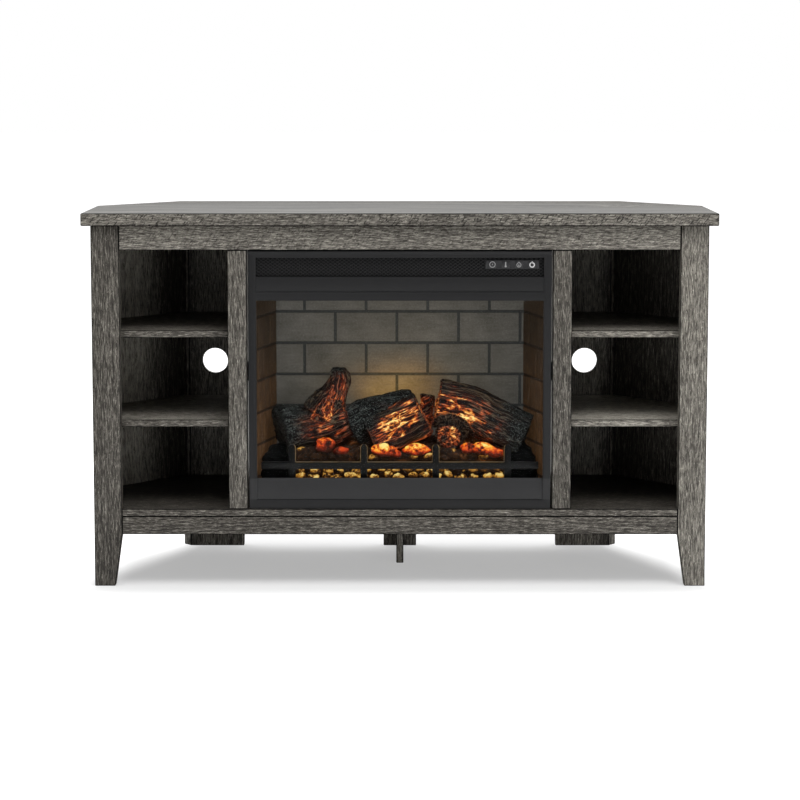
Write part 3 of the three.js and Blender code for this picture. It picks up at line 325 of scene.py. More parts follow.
def powder_coat(name, colour, roughness=0.5, metallic=0.0, shine=0.5):
    """A fine-grained coat of one colour, a little uneven, as on the insert's sheet metal."""
    f = Finish(name)
    fine = f.noise(detail=2, scale=COAT_GRAIN)
    cloud = f.noise(detail=3, scale=9)
    tone = 0.86 + fine * 0.16 + cloud * 0.12
    return f.principled(
        Base_Color=f.by(colour, f.ramp(tone, [(0.0, 0, 0, 0), (1.0, 255, 255, 255)])),
        Roughness=f.between(fine, 0.3, 0.7, roughness - 0.06, roughness + 0.08),
        Metallic=metallic,
        Specular_IOR_Level=shine,
        Normal=f.bump(fine, 0.00006, 0.6),
    )


def zinc(name, light, dark, roughness=0.38):
    """Zinc-coated sheet: crystal spangle with fine rolling lines."""
    f = Finish(name)
    spangle = f.cells(f.place, 170, "F1", "Color")
    value = f.node("SeparateColor", None, {0: spangle})
    rolled = f.noise(f.scaled(f.place, (900, 900, 12)), detail=2)
    tone = value * 0.3 + rolled * 0.7
    return f.principled(
        Base_Color=f.mixed(tone, dark, light),
        Metallic=1.0,
        Roughness=f.between(tone, 0.2, 0.8, roughness + 0.1, roughness - 0.06),
        Normal=f.bump(rolled, 0.00005, 0.4),
    )


def plastic(name, colour, roughness=0.4):
    """Moulded plastic or rubber with a spark-eroded grain."""
    f = Finish(name)
    grain = f.noise(detail=3, scale=1900)
    cloud = f.noise(detail=2, scale=40)
    dull = tuple(0.72 * part for part in colour[:3]) + (1.0,)
    return f.principled(
        Base_Color=f.mixed(f.between(grain * 0.6 + cloud * 0.4, 0.3, 0.7), dull, colour),
        Roughness=f.between(grain, 0.3, 0.7, roughness - 0.05, roughness + 0.08),
        Normal=f.bump(grain, 0.00004, 0.5),
    )


def smoked_glass():
    """Grey tempered glass with a trace of dust."""
    f = Finish("smoked_glass")
    dust = f.noise(detail=4, scale=35)
    return f.principled(
        Base_Color=paint(4, 5, 5),
        Roughness=f.between(dust, 0.4, 0.75, 0.03, 0.08),
        Alpha=0.14,
        Specular_IOR_Level=0.1,
    )


def glow_spots(f, x, z, spots):
    """The sum of soft round spots of light, each with its middle, half width and height and strength."""
    total = 0.0
    for spot_x, spot_z, wide, high, strength in spots:
        across = (x - spot_x) * (1 / wide)
        up = (z - spot_z) * (1 / high)
        total = f.maths("EXPONENT", (across * across + up * up) * -1.0) * strength + total
    return total


def brick_print(spots, groove_depth):
    """The rear screen: grey bricks printed on a panel, with dark mortar in its grooves, and the flames' light
    painted on as a glow.
    """
    f = Finish("brick_screen")
    x, y, z = f.parts(f.place)
    mortar = f.between(y, groove_depth - 0.0007, groove_depth - 0.0002)
    grit = f.noise(detail=5, roughness=0.65, scale=260)
    cloud = f.noise(detail=3, scale=16)
    streak = f.noise(f.scaled(f.place, (30, 30, 220)), detail=2)
    tone = 0.5 + (grit - 0.5) * 0.8 + (cloud - 0.5) * 0.7 + (streak - 0.5) * 0.35
    brick = f.ramp(tone, [(0.15, 58, 57, 53), (0.5, 78, 77, 73), (0.85, 94, 93, 89)])
    joint = f.ramp(grit, [(0.3, 30, 33, 33), (0.7, 50, 52, 52)])
    colour = f.mixed(mortar, brick, joint)
    # Painted light: the flames' light on the screen, as a glow over the bricks' colour
    heat = f.maths("MINIMUM", glow_spots(f, x, z, spots), 1.0)
    painted_flame_light = f.ramp(heat, [(0.0, 112, 112, 112), (0.3, 146, 136, 120), (0.62, 206, 168, 118), (1.0, 255, 206, 128)])
    return f.principled(
        Base_Color=colour,
        Roughness=0.75,
        Normal=f.bump(tone, 0.0006, 0.6),
        Emission_Color=f.by(colour, painted_flame_light),
        Emission_Strength=3.9,
    )


def side_brick(low, high):
    """The side walls: moulded brown brick, darker near the top, with a faint painted glow standing in for the fire's
    light.
    """
    f = Finish("brick_wall")
    z = f.parts(f.place)[2]
    grit = f.noise(detail=5, roughness=0.65, scale=190)
    grain = f.noise(f.scaled(f.place, (300, 60, 30)), detail=3)
    rise = f.between(z, low, high)
    tone = 0.5 + (grit - 0.5) * 0.7 + (grain - 0.5) * 0.6
    colour = f.mixed(rise, paint(98, 68, 38), paint(60, 46, 30))
    first_joint, half_course = (INSERT_DECK + 125.7) * MM, 32.35 * MM
    course = f.maths("PINGPONG", z - first_joint, half_course)
    joint = f.between(course, 0.0022, 0.0034, 1.0, 0.0)
    colour = f.mixed(f.between(tone, 0.3, 0.7), f.mixed(0.6, colour, paint(26, 17, 9)), colour)
    colour = f.mixed(joint * 0.8, colour, paint(26, 19, 13))
    return f.principled(
        Base_Color=colour,
        Roughness=0.8,
        Normal=f.bump(tone, 0.0008, 0.6),
        # Painted light: a faint glow of the brick's colour for the fire's light on the walls
        Emission_Color=colour,
        Emission_Strength=0.3,
    )


FIRE_STOPS = [
    (0.0, 0, 0, 0),
    (0.15, 34, 11, 5),
    (0.32, 116, 42, 18),
    (0.5, 194, 84, 30),
    (0.7, 240, 162, 62),
    (1.0, 255, 234, 150),
]


def bark(name):
    """Painted resin bark. Its fibres, cracks and glow follow the grain, heat and char that each log carries."""
    f = Finish(name)
    grain = f.attribute("grain")
    heat = f.attribute("hotness", "Fac")
    char = f.attribute("charring", "Fac")
    fibre = f.noise(f.scaled(grain, (190, 190, 34)), detail=4, roughness=0.7)
    fine = f.noise(f.scaled(grain, (420, 420, 150)), detail=2, roughness=0.6)
    lines = f.noise(f.scaled(grain, (120, 120, 11), shift=(5, 2, 7)), detail=2, roughness=0.45)
    ridge = f.between(abs(lines - 0.5), 0.0, 0.045, 1.0, 0.0)
    blotch = f.between(f.noise(f.scaled(grain, (45, 45, 30), shift=(1, 4, 2)), detail=2), 0.36, 0.6, 0.12, 1.0)
    crack = f.cells(f.warped(f.scaled(grain, (56, 56, 34)), 1.6, 0.9), 1.0, "DISTANCE_TO_EDGE", "Distance")
    fissure = f.between(crack + (fine - 0.5) * 0.1, 0.0, 0.085, 1.0, 0.0)
    lit = f.between(fibre + (fine - 0.5) * 0.5, 0.46, 0.62)
    up = f.parts(f.node("NewGeometry", output="Normal"))[2]
    shaded = heat * f.between(up, 0.35, 0.9, 1.0, 0.3)
    skin = f.ramp(fibre, [(0.3, 2, 1, 1), (0.48, 10, 6, 4), (0.6, 44, 28, 16), (0.74, 104, 76, 46)])
    skin = f.mixed(ridge * 0.4, skin, paint(150, 134, 104))
    speck = f.between(f.noise(f.scaled(grain, (640, 640, 380)), detail=1), 0.6, 0.72)
    coal = f.mixed(f.maths("MAXIMUM", speck * 0.8, ridge * 0.16), paint(3, 4, 4), paint(150, 162, 156))
    glow = shaded * blotch * (0.1 + lit * 0.52 + ridge * 0.5) + shaded * shaded * fissure * blotch * 0.4
    return f.principled(
        Base_Color=f.mixed(char, skin, coal),
        Roughness=f.between(fine, 0.3, 0.7, 0.5, 0.85),
        Specular_IOR_Level=0.25,
        Normal=f.bump(fibre + ridge * 0.3, 0.0022, 0.9),
        Emission_Color=f.ramp(f.maths("MINIMUM", glow, 1.0), FIRE_STOPS),
        Emission_Strength=1.38,
    )


def charcoal_lump():
    """Black broken char with grey-white sparkle on its edges."""
    f = Finish("char_rock")
    rough = f.noise(detail=6, roughness=0.7, scale=130)
    spark = f.between(f.noise(detail=3, scale=420), 0.63, 0.74)
    colour = f.mixed(f.between(rough, 0.35, 0.7), paint(2, 3, 3), paint(11, 13, 13))
    return f.principled(
        Base_Color=f.mixed(spark * 0.4, colour, paint(70, 76, 74)),
        Roughness=f.between(rough, 0.3, 0.7, 0.55, 0.9),
        Specular_IOR_Level=0.15,
        Normal=f.bump(rough, 0.003, 0.8),
    )


def grate_iron():
    """Black cast iron. The edges round its upper windows catch the embers' light, painted on as a patchy glow."""
    f = Finish("grate_iron")
    x, y, z = f.parts(f.place)
    turned_x, _, turned_z = f.parts(f.node("NewGeometry", output="Normal"))
    grit = f.noise(detail=2, scale=COAT_GRAIN)
    wear_and_painted_glow = f.noise(detail=2, scale=90)
    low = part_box("grate")[0]
    bar_top = low.z + 46.6 * MM
    last_window = 0.211
    sides = f.between(abs(turned_x), 0.3, 0.7) * f.between(z, bar_top, bar_top + 2 * MM)
    tops = f.between(turned_z, 0.3, 0.7) * f.between(z, bar_top + 4 * MM, bar_top + 6 * MM, 1.0, 0.0)
    tops = tops * f.between(z, bar_top - 3 * MM, bar_top - 1 * MM)
    # Painted light: the embers' glow on these edges
    lit = f.maths("MAXIMUM", sides, tops * 0.6)
    lit = lit * f.between(abs(x), last_window, last_window + 3 * MM, 1.0, 0.0)
    lit = lit * f.between(y, low.y + 1.5 * MM, low.y + 4 * MM, 1.0, 0.15)
    return f.principled(
        Base_Color=f.mixed(grit, paint(3, 4, 4), paint(6, 8, 8)),
        Roughness=f.between(grit, 0.3, 0.7, 0.36, 0.5),
        Specular_IOR_Level=0.4,
        Normal=f.bump(grit, 0.00006, 0.6),
        Emission_Color=f.mixed(lit * f.between(wear_and_painted_glow, 0.35, 0.6, 0.35, 1.0), BLACK, paint(196, 160, 100)),
        Emission_Strength=1.0,
    )


def ember(name, strength, scale, stops):
    """A translucent coal lit from below: bright in its thin places, charred over its top."""
    f = Finish(name)
    heat = f.attribute("hotness", "Fac")
    lump = f.noise(detail=4, roughness=0.6, scale=scale)
    crust = f.noise(detail=5, roughness=0.7, scale=scale * 3.1)
    level = f.maths("MINIMUM", heat * f.between(lump * 0.6 + crust * 0.4, 0.36, 0.6, 0.02, 1.0), 1.0)
    return f.principled(
        Base_Color=f.mixed(f.between(crust, 0.35, 0.65), paint(10, 6, 3), paint(58, 36, 16)),
        Roughness=f.between(crust, 0.3, 0.7, 0.45, 0.8),
        Specular_IOR_Level=0.2,
        Normal=f.bump(lump + crust * 0.5, 0.002, 0.8),
        Emission_Color=f.ramp(level, stops),
        Emission_Strength=strength,
    )


def circuit():
    """Green solder mask with fine copper tracks under it."""
    f = Finish("circuit_board")
    tracks = f.node("TexBrick", {"offset": 0.5}, {
        "Vector": f.scaled(f.place, (1, 1, 1), turn=(math.radians(90), 0, 0)), "Scale": 90.0,
        "Color1": WHITE, "Color2": (0.75, 0.75, 0.75, 1), "Mortar": BLACK, "Mortar Size": 0.05,
    })
    return f.principled(
        Base_Color=f.mixed(tracks, paint(120, 128, 70), paint(34, 92, 58)),
        Roughness=0.4,
        Normal=f.bump(tracks, 0.0001, 0.5),
    )


def printed_icon(name, low, high):
    """Grey ink that the strip's lamp lights a little from behind."""
    f = Finish(name)
    wear_and_painted_glow = f.noise(detail=2, scale=800)
    colour = f.mixed(wear_and_painted_glow, paint(low, low, low), paint(high, high, high))
    return f.principled(Base_Color=colour, Roughness=0.5, Emission_Color=colour, Emission_Strength=0.25)


# ------ meshes
def closed(mesh):
    """The mesh with its doubled corners joined and its faces turned outwards."""
    bmesh.ops.remove_doubles(mesh, verts=mesh.verts, dist=0.001 * MM)
    bmesh.ops.recalc_face_normals(mesh, faces=mesh.faces[:])
    return mesh


def node_mesh(node, flat=True):
    """A merged copy of a CAD node's mesh, with its flat faces made whole again."""
    mesh = bmesh.new()
    mesh.from_mesh(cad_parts[node].data)
    bmesh.ops.remove_doubles(mesh, verts=mesh.verts, dist=0.001 * MM)
    if flat:
        bmesh.ops.dissolve_limit(
            mesh, angle_limit=math.radians(1), verts=mesh.verts, edges=mesh.edges, delimit={"NORMAL"})
    return mesh


def new_object(name, mesh):
    """A new object in the scene, with a bmesh's shape."""
    data = bpy.data.meshes.new(name)
    mesh.to_mesh(data)
    mesh.free()
    made = bpy.data.objects.new(name, data)
    bpy.context.scene.collection.objects.link(made)
    return made


def put(name, mesh, material, body=STAND, stands_for=(), smooth=35.0):
    """Makes the piece's object from its bmesh, and says what it rides on, what it stands for and its finish."""
    piece = new_object(name, mesh)
    piece.data.materials.append(material)
    if smooth:
        piece.data.shade_smooth()
        piece.data.set_sharp_from_angle(angle=math.radians(smooth))
    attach(piece, body)
    if stands_for:
        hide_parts(*stands_for)
    return piece


def round_edges(mesh, width):
    """Rounds every edge that turns by more than 30 degrees, and gives the new faces."""
    sharp = [e for e in mesh.edges if len(e.link_faces) == 2 and e.calc_face_angle(0) > math.radians(30)]
    return bmesh.ops.bevel(
        mesh, geom=sharp, offset=width, offset_type="OFFSET", segments=2, profile=0.5,
        affect="EDGES", clamp_overlap=True, material=-1)["faces"]


def eased(node, material, width, body=STAND):
    """A copy of a CAD node with its edges rounded, which stands for the node."""
    mesh = node_mesh(node)
    round_edges(mesh, width)
    put(f"{node}_eased", mesh, material, body, (node,))


def box_mesh(mesh, low, high):
    """Adds a block between two corners to a bmesh."""
    low, high = Vector(low), Vector(high)
    corners = bmesh.ops.create_cube(mesh, size=1.0)["verts"]
    bmesh.ops.scale(mesh, verts=corners, vec=high - low)
    bmesh.ops.translate(mesh, verts=corners, vec=(low + high) / 2)


def eased_blocks(blocks, width):
    """A mesh of separate blocks, each between two corners, with rounded edges."""
    mesh = bmesh.new()
    for low, high in blocks:
        box_mesh(mesh, low, high)
    round_edges(mesh, width)
    return mesh


def turn(mesh, verts, degrees, axis):
    bmesh.ops.rotate(mesh, verts=verts, cent=(0, 0, 0), matrix=Matrix.Rotation(math.radians(degrees), 3, axis))


# ------ cabinet
# Width of the rounded edges that carry the dark joint line and its painted gap shade
SEAM_AND_GAP_SHADE_WIDTH = 1.5 * MM


def board(node, grain, edge):
    """A board's copy whose rounded edges show the laminate's dark joint line, which is also painted shade of the
    gaps between boards.
    """
    mesh = node_mesh(node)
    for face in round_edges(mesh, SEAM_AND_GAP_SHADE_WIDTH):
        face.material_index = 1
    piece = put(f"{node}_eased", mesh, grain, stands_for=(node,))
    piece.data.materials.append(edge)


def dress_cabinet():
    edge = seam_and_gap_shade()
    panel = {"tone": 0.06, "figure": 0.06}
    back = {"tone": 0.06, "foot": -0.12}

    def dress(name, upright, shift, *nodes, **changes):
        """Gives boards an oak of their own: those named, or the one with the oak's name."""
        grain = oak(f"oak_{name}", upright, shift, **changes)
        for node in nodes or (name,):
            board(node, grain, edge)

    dress("left_post", True, 0.0, tone=-0.2, foot=-0.05)
    dress("right_post", True, 1.7, foot=0.06)
    dress("left_stile", True, 3.1, tone=-0.11)
    dress("right_stile", True, 5.9, tone=-0.18)
    dress("panel", True, 7.7, "left_side_panel", "right_side_panel", "left_partition", "right_partition",
          "rear_centre_foot", foot=-0.12, **panel)
    # Inside values paint shade into the cubbies' inner corners, and painted light onto some of their inner faces
    dress("left_corner", True, 8.3, "left_diagonal_panel", inside=(0.48, 0.565, -0.42, 0.25), **panel)
    dress("right_corner", True, 2.9, "right_diagonal_panel", inside=(0.49, 0.6, -0.42, -0.2), **panel)
    dress("left_back", True, 7.7, "left_back_board", inside=(0.42, 0.46, 0.0, -0.3), **back)
    dress("right_back", True, 6.1, "right_back_board", inside=(0.42, 0.46, 0.1, -0.3), **back)
    dress("leg", True, 5.2, "centre_leg", tone=0.08)
    dress("top", False, 0.0, "top_board", tone=-0.06, rays=0.55, top=True, ends=0.08)
    dress("rail", False, 4.3, "top_rail", "rear_rail", tone=-0.01, figure=0.04, rays=0.18, ends=0.08)
    dress("low_rail", False, 9.1, "lower_rail", tone=-0.2, figure=0.08, rays=0.06)
    # The upper-face values of the deck and shelves are painted shade, or painted light where below 0
    dress("deck", False, 2.3, tone=-0.16, dim_top=0.26)
    dress("left_upper_shelf", False, 6.4, tone=-0.1)
    dress("left_lower_shelf", False, 6.4, tone=-0.1, dim_top=-0.16)
    dress("right_upper_shelf", False, 8.8, tone=0.1, dim_top=0.12)
    dress("right_lower_shelf", False, 8.8, tone=0.1, dim_top=-0.14)
    put("pin_sockets", pin_sockets(), plastic("socket_black", paint(14, 14, 14), 0.5))


def pin_sockets():
    """Black sleeves for shelf pins, pressed into the back boards above and below each shelf."""
    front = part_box("right_back_board")[0].y
    sides = 24
    mesh = bmesh.new()
    for x in (-448, 448):
        for z in (564, 430, 384, 351):
            sleeve = bmesh.ops.create_cone(
                mesh, cap_ends=True, segments=sides, radius1=3.4 * MM, radius2=3.0 * MM, depth=1.2 * MM)["verts"]
            turn(mesh, sleeve, 90, "X")
            bmesh.ops.translate(mesh, verts=sleeve, vec=(x * MM, front, z * MM))
            faces = {face for vert in sleeve for face in vert.link_faces}
            mouth = [face for face in faces if len(face.verts) == sides and face.normal.y < -0.5]
            bmesh.ops.inset_region(mesh, faces=mouth, thickness=0.8 * MM, depth=-0.9 * MM)
    bmesh.ops.recalc_face_normals(mesh, faces=mesh.faces[:])
    return mesh


# ------ insert: front
MESH_WIDE = 9.2 * MM
MESH_HIGH = 6.6 * MM
MESH_WIRE = 0.56 * MM


def cells_within(mesh, low, high, spare_x, spare_z):
    """The grille's cells whose middle is inside a window, or as far beyond it as is spared."""
    def inside(middle):
        return low.x - spare_x < middle.x < high.x + spare_x and low.z - spare_z < middle.z < high.z + spare_z
    return [face for face in mesh.faces if inside(face.calc_center_median())]


def vent_mesh():
    """Fine expanded-metal mesh in a flat border behind the grille window, cut round the control strip."""
    low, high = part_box("vent_grille")
    strip_low, strip_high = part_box("control_strip")
    centre = (low + high) / 2
    side = MESH_WIDE / math.sqrt(2)
    cells = int((high.x - low.x) / 2 * math.sqrt(2) / side) * 2
    mesh = bmesh.new()
    bmesh.ops.create_grid(mesh, x_segments=cells, y_segments=cells, size=cells * side / 2)
    turn(mesh, mesh.verts, 45, "Z")
    turn(mesh, mesh.verts, 90, "X")
    bmesh.ops.scale(mesh, verts=mesh.verts, vec=(1, 1, MESH_HIGH / MESH_WIDE))
    bmesh.ops.translate(mesh, verts=mesh.verts, vec=(centre.x, low.y + 0.4 * MM, centre.z))
    rim, lip = 2.2 * MM, 3.2 * MM
    for place, normal in [((low.x + rim, 0, 0), (-1, 0, 0)), ((high.x - rim, 0, 0), (1, 0, 0)),
                          ((0, 0, low.z + rim), (0, 0, -1)), ((0, 0, high.z - rim), (0, 0, 1))]:
        whole = mesh.verts[:] + mesh.edges[:] + mesh.faces[:]
        bmesh.ops.bisect_plane(mesh, geom=whole, plane_co=place, plane_no=normal, clear_outer=True)
    near = MESH_WIDE / 2
    for spare, place, normal in [
        (near, (0, 0, strip_low.z), (0, 0, 1)), (near, (0, 0, strip_high.z), (0, 0, 1)),
        (0.0, (strip_low.x, 0, 0), (1, 0, 0)), (0.0, (strip_high.x, 0, 0), (1, 0, 0)),
    ]:
        faces = cells_within(mesh, strip_low, strip_high, near, spare)
        parts = {part for face in faces for part in (face, *face.edges, *face.verts)}
        bmesh.ops.bisect_plane(mesh, geom=list(parts), plane_co=place, plane_no=normal)
    bmesh.ops.delete(mesh, geom=cells_within(mesh, strip_low, strip_high, 0.0, 0.0), context="FACES")
    openings = mesh.faces[:]
    bmesh.ops.inset_individual(mesh, faces=openings, thickness=MESH_WIRE, use_even_offset=True)
    bmesh.ops.delete(mesh, geom=openings, context="FACES_ONLY")
    bmesh.ops.solidify(mesh, geom=mesh.faces[:], thickness=0.9 * MM)
    bmesh.ops.recalc_face_normals(mesh, faces=mesh.faces[:])
    back = low.y + 1.5 * MM
    box_mesh(mesh, low, (high.x, back, low.z + lip))
    box_mesh(mesh, (low.x, low.y, high.z - lip), (high.x, back, high.z))
    box_mesh(mesh, low, (low.x + lip, back, high.z))
    box_mesh(mesh, (high.x - lip, low.y, low.z), (high.x, back, high.z))
    return mesh


def arc(middle, radius, start, stop, steps):
    """Points on an arc, with its angles in degrees from straight up, clockwise."""
    angles = [math.radians(start + (stop - start) * i / steps) for i in range(steps + 1)]
    return [(middle[0] + radius * math.sin(angle), middle[1] + radius * math.cos(angle)) for angle in angles]


def strip_of_plates(outer, inner):
    """Four-cornered plates that fill the strip between two lines of points."""
    return [[outer[i], outer[i + 1], inner[i + 1], inner[i]] for i in range(len(outer) - 1)]


def ring(middle, radius, width, start, stop):
    """The plates of a curved band, or nearly a full ring, of even width."""
    outer, inner = (arc(middle, radius + side * width / 2, start, stop, 32) for side in (1, -1))
    return strip_of_plates(outer, inner)


def icon_plates():
    """The icons, a clock, a thermometer, a flame and a power sign, in millimetres from each key's middle."""
    flame = [(0, 6.2), (-2.6, 3.0), (-4.9, 0.2), (-4.4, -3.0), (-1.8, -5.6),
             (1.8, -5.6), (4.4, -3.0), (4.9, 0.2), (3.4, 2.2), (2.0, 3.8), (0, 6.2)]
    inner_flame = [(u * 0.72, v * 0.72 - 0.3) for u, v in flame]
    hands = [(-1.1, -0.7), (0.9, -0.7), (0.9, 1.9), (-0.1, 1.9), (-0.1, 0.3), (-1.1, 0.3)]
    bulb = arc((0, -3.6), 2.0, 30, 330, 20)
    return {
        "timer_key": ring((0, 0), 5.5, 1.3, 0, 360) + [hands],
        "heat_key": [bulb + [(-1.0, 4.8), (0, 5.8), (1.0, 4.8)]],
        "flame_key": strip_of_plates(flame, inner_flame) + [[(-1.3, -3.4), (1.5, -3.2), (0.5, -0.2), (-0.3, 1.2)]],
        "power_key": ring((0, -0.7), 4.5, 2.0, 24, 336) + [[(-0.9, 2.2), (0.9, 2.2), (0.9, 6.4), (-0.9, 6.4)]],
    }


def icon_mesh(key, plates):
    """A key's icon, which stands a hair proud of the key's face and goes a little way into it."""
    low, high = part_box(key)
    middle = (low + high) / 2
    mesh = bmesh.new()
    for outline in plates:
        corners = [mesh.verts.new((middle.x + u * MM, low.y - 0.05 * MM, middle.z + v * MM)) for u, v in outline]
        drawn = bmesh.ops.extrude_face_region(mesh, geom=[mesh.faces.new(corners)])["geom"]
        moved = [part for part in drawn if isinstance(part, bmesh.types.BMVert)]
        bmesh.ops.translate(mesh, verts=moved, vec=(0, 0.35 * MM, 0))
    return closed(mesh)


def frame_coat():
    """The front frame's charcoal coat. Its lower panel and its top edge are painted lighter, as painted light where
    they would catch more light.
    """
    f = Finish("charcoal_coat")
    z = f.parts(f.place)[2]
    fine = f.noise(detail=2, scale=COAT_GRAIN)
    cloud = f.noise(detail=3, scale=9)
    low, high, blur = (INSERT_DECK + 19.5) * MM, (INSERT_DECK + 61) * MM, 0.6 * MM
    # Painted light: the lower panel and the top edge are painted lighter than the rest of the coat
    panel = f.between(z, low - blur, low) * f.between(z, high, high + blur, 1.0, 0.0)
    edge = f.between(z, (INSERT_DECK + 511) * MM, (INSERT_DECK + 513) * MM)
    coat = f.mixed(panel, paint(31, 31, 32), paint(50, 50, 51))
    coat = f.mixed(edge, coat, paint(40, 40, 41))
    return f.principled(
        Base_Color=f.mixed((fine + cloud) * 0.25, coat, paint(24, 24, 25)),
        Roughness=f.between(fine, 0.3, 0.7, 0.44, 0.58),
        Specular_IOR_Level=0.25,
        Normal=f.bump(fine, 0.00006, 0.6),
    )


def gasket_blocks():
    """Black foam strips behind the frame's edges that close the gap to the cabinet's opening."""
    frame_low, frame_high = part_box("front_frame")
    sleeve_low, sleeve_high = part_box("insert_housing")
    front = frame_high.y + 0.5 * MM
    back = front + 12 * MM
    foot, top = frame_low.z + 1 * MM, frame_high.z + 1.2 * MM
    out, gap = 1.6 * MM, 0.4 * MM
    return [
        ((frame_low.x - out, front, foot), (sleeve_low.x - gap, back, top)),
        ((sleeve_high.x + gap, front, foot), (frame_high.x + out, back, top)),
        ((sleeve_low.x, front, sleeve_high.z + gap), (sleeve_high.x, back, top)),
    ]


def filter_block():
    """A black filter pad inside the back cover, over its air slots."""
    low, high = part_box("back_cover")
    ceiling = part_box("firebox_ceiling")[1].z
    half_width, edge = 160 * MM, 6 * MM
    return (-half_width, low.y - 3.5 * MM, ceiling + edge), (half_width, low.y - 0.4 * MM, high.z - edge)


def shade_sheet_block():
    """Black fabric in a thin block close behind the grille, put there as painted shade to darken what shows through
    the grille.
    """
    low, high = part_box("vent_grille")
    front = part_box("control_strip")[1].y + 0.1 * MM
    inset, thick = 1 * MM, 1.2 * MM
    return (low.x + inset, front, low.z + inset), (high.x - inset, front + thick, high.z - inset)


def dress_front():
    grille_black = powder_coat("grille_black", paint(39, 39, 40), shine=0.25)
    strip = plastic("strip_plastic", paint(33, 33, 35), 0.4)
    caps = plastic("key_plastic", paint(38, 38, 40), 0.38)
    grey_ink = printed_icon("grey_ink", 118, 140)
    pale_ink = printed_icon("pale_ink", 170, 196)
    eased("front_frame", frame_coat(), 0.7 * MM)
    put("vent_mesh", vent_mesh(), grille_black, stands_for=("vent_grille",), smooth=0)
    eased("control_strip", strip, 0.4 * MM)
    for key, plates in icon_plates().items():
        eased(key, caps, 0.25 * MM, body=key)
        ink = pale_ink if key == "power_key" else grey_ink
        put(key.replace("_key", "_icon"), icon_mesh(key, plates), ink, body=key, smooth=0)
    foam = plastic("gasket_foam", paint(12, 12, 12), 0.8)
    put("frame_gasket", eased_blocks(gasket_blocks(), 0.6 * MM), foam)
    put("air_filter", eased_blocks([filter_block()], 0.8 * MM), foam)
    # Painted shade: a black sheet behind the grille
    shade_fabric = plastic("shade_sheet_fabric", paint(2, 2, 2), 0.85)
    put("shade_sheet", eased_blocks([shade_sheet_block()], 0.3 * MM), shade_fabric)
    eased("glass", smoked_glass(), 0.6 * MM)


# ------ insert: firebox
# Where the flames' light is painted onto the rear screen: x, z, half width, half height, strength
SCREEN_GLOW = [
    (*glass_point(383, 396), 0.045, 0.035, 0.6),
    (*glass_point(412, 390), 0.04, 0.045, 0.3),
    (*glass_point(396, 385), 0.13, 0.06, 0.45),
    (*glass_point(400, 345), 0.22, 0.14, 0.2),
]

# Each log's own line, as points in the insert's millimetres from its cut end on
LEFT_LOG = [(-238, 64, 143), (-200, 77, 148), (-155, 77, 158), (-106, 77, 176)]
LEFT_BRANCH = [(-156, 77, 181), (-142, 77, 206), (-129, 77, 231), (-123, 76, 255), (-122, 75, 274)]
CENTRE_LOG = [(-57, 64, 132), (-5, 67, 155), (47, 69, 182)]
RIGHT_LOG = [(76, 77, 202), (135, 77, 190), (198, 74, 163), (255, 64, 138)]
RIGHT_STUB = [(99, 38, 140), (109, 77, 147)]
REAR_LOG = [(-102, 81, 148), (-52, 89, 180), (29, 91, 196)]


def on_line(point, line):
    """How far along a line a point lies, its offset from the line and how long that is, and the heading."""
    best = None
    run = 0.0
    for start, stop in zip(line, line[1:]):
        step = stop - start
        share = max(0.0, min(1.0, (point - start).dot(step) / step.length_squared))
        nearest = start + step * share
        away = point - nearest
        if best is None or away.length < best[2]:
            best = (run + step.length * share, away, away.length, step.normalized())
        run += step.length
    return best


def solid_copy(node, voxel):
    """A CAD node's shape as an even skin of small faces."""
    piece = new_object("skin", node_mesh(node, flat=False))
    remesh = piece.modifiers.new("remesh", "REMESH")
    remesh.mode = "VOXEL"
    remesh.voxel_size = voxel
    remesh.use_smooth_shade = True
    smooth = piece.modifiers.new("smooth", "SMOOTH")
    smooth.iterations = 2
    skin = bmesh.new()
    skin.from_object(piece, bpy.context.evaluated_depsgraph_get())
    skin.normal_update()
    bpy.data.meshes.remove(piece.data)
    return skin


def ridge(point):
    """Sharp ridges between soft hollows, from 0 to 1."""
    total, weight, size = 0.0, 0.0, 1.0
    for octave in range(4):
        share = 0.5 ** octave
        total += share * (1 - min(1.0, abs(noise.noise(point * size)) * 2.2))
        weight += share
        size *= 2.03
    return total / weight


def fade(point, x, z, wide, high):
    """How much of a soft round spot in x and z reaches a point: 1 in its middle, and less outwards."""
    return math.exp(-((point.x - x) / wide) ** 2 - ((point.z - z) / high) ** 2)


SWELL = 0.04
STUB_LIT_DEPTH = 3 * MM
STUB_LIT_SHARE = 0.8
STUB_DIM = 0.12


